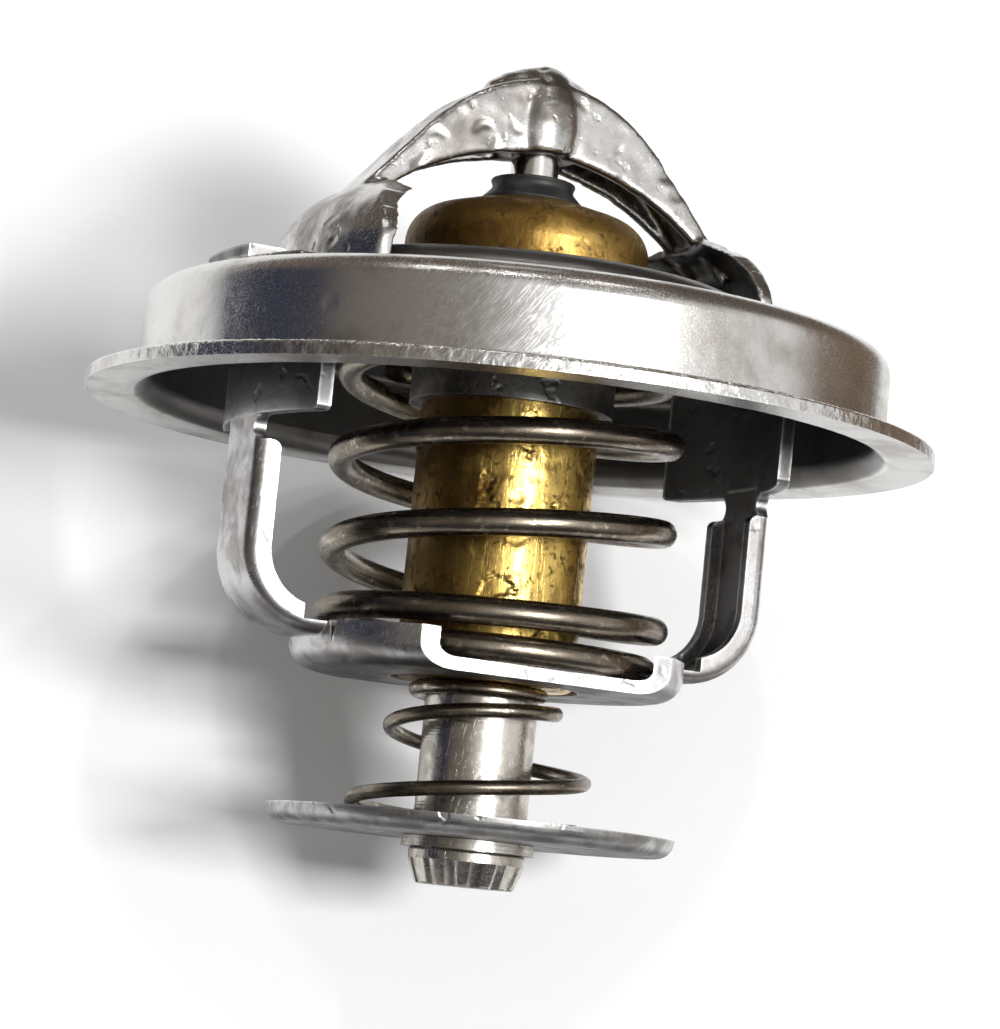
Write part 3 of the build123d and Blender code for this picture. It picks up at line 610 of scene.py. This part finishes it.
main_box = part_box("main_spring")
print("the main spring stands from and to", wire_ends(main_box, 0))

# %% [markdown]
# The wire is a tube. At each step along the path a ring of points is set square to the way
# ahead, and faces join it to the ring before. Two short helpers put the result into the
# scene, and every later piece uses them too.

# %% Wind a spring
END_SHARE = 0.93  # the wire's cut ends are this much thinner


def new_object(name, data):
    """Puts a new object with this mesh, lamp or camera into the scene."""
    made = bpy.data.objects.new(name, data)
    bpy.context.scene.collection.objects.link(made)
    return made


def new_piece(name, shape):
    """Makes an object from a bmesh, and frees the bmesh."""
    mesh = bpy.data.meshes.new(name)
    shape.to_mesh(mesh)
    shape.free()
    return new_object(name, mesh)


def wind(name, stations, wire, start, rings_per_turn=72, sides=20):
    """A tube of wire along the stations: turns, mean radius and height in millimetres."""
    turns = stations[-1][0]
    steps = round(turns * rings_per_turn)
    centres = []
    for step in range(steps + 1):
        turn = turns * step / steps
        radius, height = softened(stations, turn)
        angle = math.radians(start + 360 * turn)
        centres.append(Vector((radius * math.cos(angle), radius * math.sin(angle), height)))
    shape = bmesh.new()
    uv = shape.loops.layers.uv.new("along_wire")
    rings = []
    for step, centre in enumerate(centres):
        ahead = centres[min(step + 1, steps)] - centres[max(step - 1, 0)]
        ahead.normalize()
        outward = Vector((centre.x, centre.y, 0)).normalized()
        up = ahead.cross(outward).normalized()
        outward = up.cross(ahead)
        half = wire / 2 * (END_SHARE if step in (0, steps) else 1.0)
        ring = []
        for side in range(sides):
            angle = 2 * math.pi * side / sides
            off = outward * math.cos(angle) + up * math.sin(angle)
            ring.append(shape.verts.new((centre + off * half) * MM))
        rings.append(ring)
    for step, (ring, after) in enumerate(zip(rings, rings[1:])):
        for side in range(sides):
            follow = (side + 1) % sides
            face = shape.faces.new((ring[side], ring[follow], after[follow], after[side]))
            face.smooth = True
            for loop, (u, v) in zip(face.loops, ((0, 0), (0, 1), (1, 1), (1, 0))):
                loop[uv].uv = ((step + u) / rings_per_turn, (side + v) / sides)
    shape.faces.new(list(reversed(rings[0])))
    shape.faces.new(rings[-1])
    bmesh.ops.recalc_face_normals(shape, faces=shape.faces)
    piece = new_piece(name, shape)
    low, high = stations[0][2] - wire / 2, stations[-1][2] + wire / 2
    print(f"{name}: {turns:.2f} turns, z {low:.2f} to {high:.2f} mm, "
          f"{len(piece.data.polygons)} faces")
    return piece


# %% [markdown]
# ### The wire's surface
#
# Spring wire is drawn through a die and then heated, which leaves a dark olive-brown skin.
# Its marks run along the wire. The tube carries a map, u along the wire and v round it, so
# noise that is squeezed in v and stretched in u gives those marks. Rubbed lines are
# lighter, and light specks are painted glints: small highlights painted into the colour.

# %% Spring wire finish
def wire_finish(name, dark, rubbed_and_glint):
    """Heat-browned wire with marks that run along it, and specks painted as glints."""
    material, tree, shader = new_material(name, 1.0)
    along_wire = add(tree, "TexCoord").outputs["UV"]
    lines = add(tree, "TexNoise", {"Vector": scaled(tree, along_wire, (14, 9, 1)),
                                   "Scale": 1.0, "Detail": 5.0, "Roughness": 0.7})
    clouds = place(tree, tarnish, Size=2.2, Cover=0.5, Softness=0.2)["Mask"]
    worn = maths(tree, "MULTIPLY", spread(tree, lines.outputs[0], 0.5, 0.72), 0.6)
    # Painted highlight: the specks are light glints painted into the colour of the wire.
    specks = place(tree, tarnish, Size=0.9, Cover=0.3, Softness=0.05)["Mask"]
    specks = maths(tree, "MULTIPLY", specks, 0.7)
    lighter = tuple(part * 1.6 for part in dark)
    colour = blend_colours(tree, clouds, dark + (1,), lighter + (1,))
    colour = blend_colours(tree, worn, colour, rubbed_and_glint + (1,))
    colour = blend_colours(tree, specks, colour, rubbed_and_glint + (1,))
    join(tree, colour, shader.inputs["Base Color"])
    join(tree, spread(tree, lines.outputs[0], 0.3, 0.7, 0.34, 0.20),
         shader.inputs["Roughness"])
    height = maths(tree, "MULTIPLY", lines.outputs[0], 0.03)
    sand = place(tree, grain, Size=0.15)["Value"]
    add_bump(tree, shader, maths(tree, "MULTIPLY_ADD", sand, 0.012, height))
    return material


spring_wire = wire_finish("browned_spring_wire", dark=(0.160, 0.135, 0.105),
                          rubbed_and_glint=(0.66, 0.60, 0.50))
print(f"{spring_wire.name}: {len(spring_wire.node_tree.nodes)} nodes")

# %% [markdown]
# ### The main spring
#
# It stands in the frame's dish and pushes the valve disc against its seat. Both ends are
# closed, so the first and last turns lie flat, and they are a little narrower than the free
# ones. When the valve opens, the disc comes down eight millimetres, and the spring shortens
# towards the dish.

# %% Main spring
wire, pitch, wire_start = 2.15, 6.9, -154.0
low_z, high_z = wire_ends(main_box, wire)
free, closed = 14.0 - wire / 2, 13.3 - wire / 2
second = low_z + 1.2 * wire
closing = (high_z - second) / pitch
main_spring = wind(
    "main_spring_wire",
    [(0, closed, low_z), (0.35, closed, low_z), (0.85, free, second), (1.2, free, second),
     (1.5, free, second + 0.22 * pitch), (1.9, free, second + 0.77 * pitch),
     (1.1 + closing, free, high_z), (1.75 + closing, closed, high_z)],
    wire, wire_start,
)
main_spring.data.materials.append(spring_wire)
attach(main_spring, "housing_side")
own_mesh(main_spring)
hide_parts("main_spring")

# %% [markdown]
# ### The bypass spring
#
# This one is conical. Its small end sits under the can and its large end presses on the
# bypass disc. It shortens when that disc meets its port and stays behind.

# %% Bypass spring
wire, turns, top_end = 1.15, 2.85, -50.0
stem_r, stem_gap = 4.43, 0.12
cone_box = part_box("bypass_spring")
low_z, high_z = wire_ends(cone_box, wire)
rise = high_z - low_z
large, small = 9.4, stem_r + stem_gap + wire / 2
bypass_spring = wind(
    "bypass_spring_wire",
    [(0, large, low_z), (0.3, large, low_z), (0.65, large, low_z + 0.2 * rise),
     (1.65, small + 1.1, high_z - 0.17 * rise), (2.5, small, high_z),
     (turns, small, high_z)],
    wire, top_end - 360 * turns, sides=16,
)
bypass_spring.data.materials.append(spring_wire)
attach(bypass_spring, "element")
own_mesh(bypass_spring)
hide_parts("bypass_spring")

# %% [markdown]
# ## The can, with its dents
#
# The can takes the most handling, so its dents are deep enough to see in the outline. Bump
# can't change an outline. The can is turned again from its own half section, with many
# rows on the outer wall, and each point of that wall moves in or out by a little noise.

# %% Turn a shape
def turned_piece(name, section, segments=288):
    """A closed shape of rings from a half section; a point may bring its own push."""
    shape = bmesh.new()
    rings = []
    for radius, height, *push in section:
        ring = []
        for segment in range(segments):
            angle = 2 * math.pi * segment / segments
            way = Vector((math.cos(angle), math.sin(angle), 0))
            out = radius + (push[0](way, height) if push else 0)
            ring.append(shape.verts.new((way * out + Vector((0, 0, height))) * MM))
        rings.append(ring)
    for ring, after in zip(rings, rings[1:] + rings[:1]):
        for segment in range(segments):
            follow = (segment + 1) % segments
            face = shape.faces.new((ring[segment], ring[follow], after[follow],
                                    after[segment]))
            face.smooth = True
    bmesh.ops.recalc_face_normals(shape, faces=shape.faces)
    piece = new_piece(name, shape)
    print(f"{name}: {len(piece.data.polygons)} faces")
    return piece


# %% [markdown]
# Slow waves, soft dents and a few nicks are added up. A nick is the peak of a ragged noise:
# it is pressed in, and the band round it is pushed out. All of it fades out before the
# can's lower edge and before the valve disc, where the can has to fit.

# %% Dents of the can
DENTED = (-19.6, 1.2)  # heights of the damage in mm
NICK_RIM, NICK_PIT = 0.26, 0.34
RIM_HEIGHT, PIT_DEPTH = 0.05, 0.13


def limited(value):
    """The value, kept between 0 and 1."""
    return min(1.0, max(0.0, value))


def handling_dents(way, height):
    """Waves, small dents and a few ragged nicks with a raised rim, in millimetres."""
    spot = Vector((way.x * 7, way.y * 7, height))
    wave = noise.noise(spot * 0.45 + Vector((3, 1, 7)))
    dent = max(0.0, noise.noise(spot * 0.6 + Vector((9, 4, 2))) - 0.30)
    nick = 1.2 * noise.noise(spot * 0.42 + Vector((5, 8, 1))) - 0.19
    nick += 0.15 * noise.fractal(spot * 3.0, 0.6, 2.0, 4)
    rim = RIM_HEIGHT if NICK_RIM < nick < NICK_PIT else 0.0
    pit = PIT_DEPTH if nick >= NICK_PIT else 0.0
    fade = limited(DENTED[1] - height) * limited(height - DENTED[0])
    return fade * (0.035 * wave - 0.22 * dent + rim - pit)


print("one point of the wall moves by", handling_dents(Vector((0, -1, 0)), -10.0), "mm")

# %% [markdown]
# The half section runs up the outside, over the rim and down the inside, and it closes at
# the hole for the stem's rivet.

# %% Turn the can
can_r, inner_r, rim_r, hole_r = 7.06, 6.26, 8.80, 3.02
low_z, rim_z, top_z = -20.0, 8.3, 9.3
floor_z = low_z + 1.2
bend, inner_bend, corner = 0.6, 0.4, 0.2
row, rows = 0.16, 168
edge = [(can_r - bend + bend * math.sin(math.radians(a)),
         low_z + bend - bend * math.cos(math.radians(a))) for a in (0, 18, 36, 54, 72)]
wall = [(can_r, low_z + bend + row * step, handling_dents) for step in range(rows)]
rim = [(can_r, rim_z - 0.1), (can_r + 0.1, rim_z), (rim_r - corner, rim_z),
       (rim_r, rim_z + corner), (rim_r, top_z - corner), (rim_r - corner, top_z)]
inside = [(inner_r + corner, top_z), (inner_r, top_z - corner),
          (inner_r, floor_z + inner_bend), (inner_r - inner_bend, floor_z)]
can = turned_piece("dented_can",
                   [(hole_r, low_z)] + edge + wall + rim + inside + [(hole_r, floor_z)])
can.data.materials.append(brass)
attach(can, "element")
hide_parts("element_can")

# %% [markdown]
# ## The bridge, pressed soft
#
# The solid bridge has the exact folds, but real sheet flows: the boss round the piston
# swells out of the arms, a low crown joins it to their backs, and no fold is sharp. Boss
# and crown are turned shapes, and the crown is then stretched along the arms. The boss is
# hollow where the piston goes in, so that the bore stays open.

# %% Boss and crown
TURNS = 96  # points round the boss and the crown
CROWN_STRETCH = (1.75, 0.8, 1)
boss = turned_piece(
    "boss",
    [(1.92, 22.15), (3.1, 22.15), (3.35, 22.5), (3.4, 24.5), (3.3, 26.2), (2.9, 27.6),
     (2.1, 28.7), (1.1, 29.4), (0.05, 29.62), (0.05, 28.7), (1.92, 28.7)],
    segments=TURNS,
)
crown = turned_piece(
    "crown",
    [(0.05, 26.6), (3.0, 26.6), (2.75, 27.6), (2.0, 28.5), (1.1, 29.2), (0.05, 29.55)],
    segments=TURNS,
)
crown.data.transform(Matrix.Diagonal(CROWN_STRETCH + (1,)))

# %% [markdown]
# A boolean union of the solid, the boss and the crown would keep every sharp seam. A voxel
# remesh wraps new quads round them instead, and smoothing melts the seams. The voxels are
# a fifth of the sheet's thickness, so the sheet itself isn't lost.

# %% One skin
VOXEL = 0.19
SEAM = 0.002  # the solid's faces are joined up to this gap
SMOOTHINGS = 5


def skin_of(shape, name, voxel):
    """Remeshes a closed bmesh into even quads of one size and returns a new mesh."""
    holder = new_piece(name, shape)
    remesh = holder.modifiers.new("skin", "REMESH")
    remesh.mode = "VOXEL"
    remesh.voxel_size = voxel * MM
    graph = bpy.context.evaluated_depsgraph_get()
    made = bpy.data.meshes.new_from_object(holder.evaluated_get(graph))
    bpy.data.objects.remove(holder)
    made.name = name
    return made


shape = bmesh.new()
shape.from_mesh(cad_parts["upper_bridge"].data)
bmesh.ops.remove_doubles(shape, verts=shape.verts, dist=SEAM * MM)
for part in (boss, crown):
    shape.from_mesh(part.data)
    bpy.data.objects.remove(part)
bridge_mesh = skin_of(shape, "pressed_bridge", VOXEL)
shape = bmesh.new()
shape.from_mesh(bridge_mesh)
for _ in range(SMOOTHINGS):
    bmesh.ops.smooth_vert(shape, verts=shape.verts, factor=0.5, use_axis_x=True,
                          use_axis_y=True, use_axis_z=True)
shape.normal_update()
print("skin of the bridge:", len(shape.verts), "points")

# %% [markdown]
# The bridge was also knocked about. Each point moves along its own normal by slow waves and
# by dents, and one pit is pressed in near the peak. No point may end outside the solid's
# box.

# %% Knock the bridge about
PIT, PIT_R, PIT_DEEP = Vector((-0.75742, -2.3751, 28.0)), 0.55, 0.3
pushes = []
for vert in shape.verts:
    spot = vert.co / MM
    wave = 0.05 * noise.noise(spot * 0.35) + 0.03 * noise.noise(spot * 0.9)
    dent = 0.35 * max(0.0, noise.noise(spot * 0.7 + Vector((4, 4, 9))) - 0.33)
    hole = PIT_DEEP * max(0.0, 1 - (spot - PIT).length / PIT_R)
    pushes.append(vert.normal * ((wave - dent - hole) * MM))
low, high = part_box("upper_bridge")
for vert, push in zip(shape.verts, pushes):
    moved = vert.co + push
    vert.co = Vector([min(max(v, a), b) for v, a, b in zip(moved, low, high)])
for face in shape.faces:
    face.smooth = True
shape.to_mesh(bridge_mesh)
shape.free()
bridge = new_object("pressed_bridge", bridge_mesh)
bridge_mesh.materials.clear()
bridge_mesh.materials.append(bridge_steel)
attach(bridge, "housing_side")
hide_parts("upper_bridge")
print(f"pressed_bridge: {len(bridge_mesh.polygons)} faces")

# %% [markdown]
# ## Burr on the lip
#
# The press tool cuts the lip out of the sheet and tears its last edge upwards. What stays
# is a thin ragged rim, in some places thick and in others gone. It is a ring of small
# sections. A slow noise decides where the rim is thick, and a fast one makes it ragged.

# %% Burr on the lip
BURR_STEPS = 1500
LEAST, MOST = 0.03, 0.34  # height of the burr over the lip's edge, mm
shape = bmesh.new()
rings = []
for step in range(BURR_STEPS):
    angle = 2 * math.pi * step / BURR_STEPS
    way = Vector((math.cos(angle), math.sin(angle), 0))
    patch = 0.5 + 0.5 * noise.noise(way * 4.0 + Vector((2, 5, 3)))
    rough = 0.5 + 0.5 * noise.fractal(way * 60.0, 0.8, 2.0, 4)
    high = LEAST + MOST * max(0.0, patch - 0.25) * limited(rough)
    out = 0.04 * noise.noise(way * 95.0)
    section = ((33.02, 0.97), (33.16, 1.0 + 0.7 * high), (33.30 + out, 1.0 + high),
               (33.43 + out, 0.95 + 0.5 * high), (33.49, 0.78), (33.2, 0.7))
    rings.append([shape.verts.new((way * r + Vector((0, 0, z))) * MM) for r, z in section])
for ring, after in zip(rings, rings[1:] + rings[:1]):
    for k in range(len(ring)):
        follow = (k + 1) % len(ring)
        shape.faces.new((ring[k], after[k], after[follow], ring[follow]))
bmesh.ops.recalc_face_normals(shape, faces=shape.faces)
burr = new_piece("lip_burr", shape)
burr_steel = steel_finish(
    "torn_edge_steel", (0.90, 0.90, 0.89), (0.55, 0.54, 0.52), size=0.8, cover=0.35,
    clean=0.22, stained=0.36, dent=0.6, dent_depth=0.05, edge=0, shade_share=0.0,
)[0]
burr.data.materials.append(burr_steel)
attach(burr, "housing_side")
print(f"lip_burr: {len(burr.data.polygons)} faces")

# %% [markdown]
# ## Camera
#
# The part lies on its side on a sheet of paper, and the camera looks down at it with a
# long lens. In the part's own frame that is a level look between X and Y, from a little
# below and rolled a few degrees. The camera's three axes are written out, because a rolled
# camera is awkward to give as angles.

# %% Camera
LENS = 126.4
CAMERA_AT = Vector((-0.1149, -0.2580, -0.0397))
rise_angle, roll = math.radians(6.71), math.radians(5.7)
level = Vector((0.4067, 0.9135, 0)).normalized()
look = level * math.cos(rise_angle) + Vector((0, 0, math.sin(rise_angle)))
side = Vector((level.y, -level.x, 0))  # level, to the camera's right
above = side.cross(look)
across = side * math.cos(roll) + above * math.sin(roll)
upward = above * math.cos(roll) - side * math.sin(roll)
camera = new_object("camera", bpy.data.cameras.new("camera"))
camera.data.lens = LENS
turn = Matrix((across, upward, -look)).transposed()
camera.matrix_world = Matrix.Translation(CAMERA_AT) @ turn.to_4x4()
bpy.context.scene.camera = camera
print("camera looks along", [round(value, 3) for value in look])

# %% [markdown]
# ## Paper
#
# The sheet touches the lip and leans in towards the lower end, where the part is thinner.
# On the right it ends just outside the camera's view, because the flange's wall would
# mirror it there, and that end of the wall is brown, not white.

# %% Paper
LIP_TO_PAPER, END_TO_PAPER, END_BELOW_LIP = 34.2, 16.5, 39.6  # from the axis, mm
SHEET, RIGHT_EDGE = 0.42, 0.062  # from the middle of the sheet, metres
slope = (LIP_TO_PAPER - END_TO_PAPER) / END_BELOW_LIP
lean = Vector((level.x * slope, level.y * slope, 1)).normalized()
foot = level * LIP_TO_PAPER * MM
corners = [foot + side * a + lean * b for a, b in
           ((-SHEET, -SHEET), (RIGHT_EDGE, -SHEET), (RIGHT_EDGE, SHEET), (-SHEET, SHEET))]
mesh = bpy.data.meshes.new("paper")
mesh.from_pydata([tuple(c) for c in corners], [], [(0, 1, 2, 3)])
paper = new_object("paper", mesh)
facing = mesh.polygons[0].normal.dot(-level)
print("paper faces the camera:", facing > 0)

# %% [markdown]
# The paper has faint fibres and glows a very little towards the camera, which takes the
# last grey out of it and leaves the shadow. Its back is clear to the camera, so that the
# part can be seen from behind too.

# %% Paper's surface
def seen_rays(tree):
    """1 for rays of camera, reflection and glass and 0 for light; then the camera's own."""
    path = add(tree, "LightPath").outputs
    seen = maths(tree, "MAXIMUM", path["Is Camera Ray"], path["Is Glossy Ray"])
    return maths(tree, "MAXIMUM", seen, path["Is Transmission Ray"]), path["Is Camera Ray"]


material, tree, shader = new_material("white_paper", 0.0)
shader.inputs["Roughness"].default_value = 0.85
fibres = place(tree, grain, Size=0.6)["Value"]
join(tree, blend_colours(tree, fibres, (0.93, 0.93, 0.935, 1), (0.97, 0.97, 0.97, 1)),
     shader.inputs["Base Color"])
seen, camera_ray = seen_rays(tree)
lift = add(tree, "Emission", {"Color": (1, 1, 1, 1),
                              "Strength": maths(tree, "MULTIPLY", seen, 0.05)})
both = add(tree, "AddShader", {0: shader.outputs[0], 1: lift.outputs[0]})
clear = add(tree, "BsdfTransparent")
back = add(tree, "NewGeometry").outputs["Backfacing"]
behind = maths(tree, "MULTIPLY", back, camera_ray)
shown = add(tree, "MixShader", {0: behind, 1: both.outputs[0], 2: clear.outputs[0]})
join(tree, shown.outputs[0], tree.nodes["Material Output"].inputs["Surface"])
paper.data.materials.append(material)
print("white_paper:", len(tree.nodes), "nodes")

# %% [markdown]
# ## Light
#
# Bright metal has hardly any colour of its own: it shows the room. White all round would
# make it look like plaster. A studio sets dark and grey boards beside the lamp, and the
# metal then shows bands. Here a round screen stands about the part and is seen only in
# reflections. It is part of a globe, with a map that counts round it and upwards.

# %% Screen for the reflections
SCREEN_R = 0.7
FIRST_ANGLE, TILT_LIMIT = -215, 85  # degrees


def direction(heading, tilt):
    """The unit vector at a heading round Z and a tilt over the horizon, in degrees."""
    heading, tilt = math.radians(heading), math.radians(tilt)
    return Vector((math.cos(heading) * math.cos(tilt), math.sin(heading) * math.cos(tilt),
                   math.sin(tilt)))


shape = bmesh.new()
columns, rows = 120, 24
grid = [[shape.verts.new(direction(FIRST_ANGLE + 360 * column / columns,
                                   TILT_LIMIT * (2 * row / rows - 1)) * SCREEN_R)
         for row in range(rows + 1)] for column in range(columns + 1)]
uv = shape.loops.layers.uv.new("screen")
for column in range(columns):
    for row in range(rows):
        face = shape.faces.new((grid[column][row], grid[column + 1][row],
                                grid[column + 1][row + 1], grid[column][row + 1]))
        for loop, (u, v) in zip(face.loops, ((0, 0), (1, 0), (1, 1), (0, 1))):
            loop[uv].uv = ((column + u) / columns, (row + v) / rows)
screen = new_piece("screen", shape)
for kind in ("camera", "diffuse", "transmission", "shadow", "volume_scatter"):
    setattr(screen, "visible_" + kind, False)
print("screen:", len(screen.data.polygons), "faces")

# %% [markdown]
# On the camera's side the screen runs from dark blue through grey-brown to white and back
# to brown, which is what the flange's wall shows from left to right. Behind the part it is
# pale. Its ceiling is brown and its lower part is dark, so that faces which look up or down
# don't shine.

# %% Colours of the screen
BROWN_CEILING = (0.13, 0.105, 0.085, 1)
DARK_FLOOR = (0.05, 0.05, 0.055, 1)
material, tree, shader = new_material("screen_colours", 0.0)
tree.nodes.remove(shader)
place_on = add(tree, "SeparateXYZ", {0: add(tree, "TexCoord").outputs["UV"]})
bands = add(tree, "ValToRGB", {"Fac": place_on.outputs[0]})
stops = [(0.00, (0.030, 0.034, 0.060)), (0.113, (0.035, 0.038, 0.062)),
         (0.133, (0.17, 0.15, 0.13)), (0.246, (0.27, 0.245, 0.215)),
         (0.286, (0.78, 0.78, 0.78)), (0.520, (0.92, 0.92, 0.92)),
         (0.560, (0.19, 0.135, 0.09)), (0.68, (0.17, 0.12, 0.08)),
         (0.71, (0.80, 0.80, 0.80)), (0.99, (0.80, 0.80, 0.80))]
ramp = bands.color_ramp
while len(ramp.elements) < len(stops):
    ramp.elements.new(0.5)
for element, (position, colour) in zip(ramp.elements, stops):
    element.position = position
    element.color = colour + (1,)
overhead = spread(tree, place_on.outputs[1], 0.62, 0.72)
underneath = spread(tree, place_on.outputs[1], 0.42, 0.30)
colour = blend_colours(tree, overhead, bands.outputs[0], BROWN_CEILING)
colour = blend_colours(tree, underneath, colour, DARK_FLOOR)
glow = add(tree, "Emission", {"Color": colour})
join(tree, glow.outputs[0], tree.nodes["Material Output"].inputs["Surface"])
screen.data.materials.append(material)
print("bands of the screen at", [position for position, _ in stops])

# %% [markdown]
# ### Lamps
#
# The key lamp is a soft square to the right of the camera, level with it, so the shadows
# fall to the left. One big lamp would leave round wire dull. Three small lamps higher up
# add the sparks that it shows.

# %% Lamps
LAMP_AWAY = 1.2
CAMERA_HEADING = -114  # degrees round Z


def soft_lamp(name, to_the_right, tilt, size, power):
    """A square lamp that faces the part, turned to the camera's right by some degrees."""
    lamp = new_object(name, bpy.data.lights.new(name, "AREA"))
    lamp.data.shape = "SQUARE"
    lamp.data.size = size
    lamp.data.energy = power
    towards = direction(CAMERA_HEADING + to_the_right, tilt)
    lamp.location = towards * LAMP_AWAY
    lamp.rotation_mode = "QUATERNION"
    lamp.rotation_quaternion = towards.to_track_quat("Z", "Y")
    print(f"{name}: {power} W, {size} m wide")


soft_lamp("key_lamp", 30, 0, size=0.24, power=13.6)
for number, turn in enumerate((-34, -4, 30)):
    soft_lamp(f"ceiling_lamp_{number}", turn, 50, size=0.04, power=0.9)

# %% [markdown]
# ### World
#
# The rest of the light comes evenly from all sides. To the camera and to reflections the
# world is plain white, but as a light it is much weaker, or it would wash out the shadows.

# %% World
WORLD_LIGHT = 0.25
world = bpy.data.worlds.new("soft_white")
world.use_nodes = True
bpy.context.scene.world = world
background = world.node_tree.nodes["Background"]
seen, _ = seen_rays(world.node_tree)
join(world.node_tree, spread(world.node_tree, seen, 0.0, 1.0, WORLD_LIGHT, 1.0),
     background.inputs["Strength"])
background.inputs["Color"].default_value = (1, 1, 1, 1)
bpy.context.scene.view_settings.view_transform = "Standard"
print("light of the world:", WORLD_LIGHT)
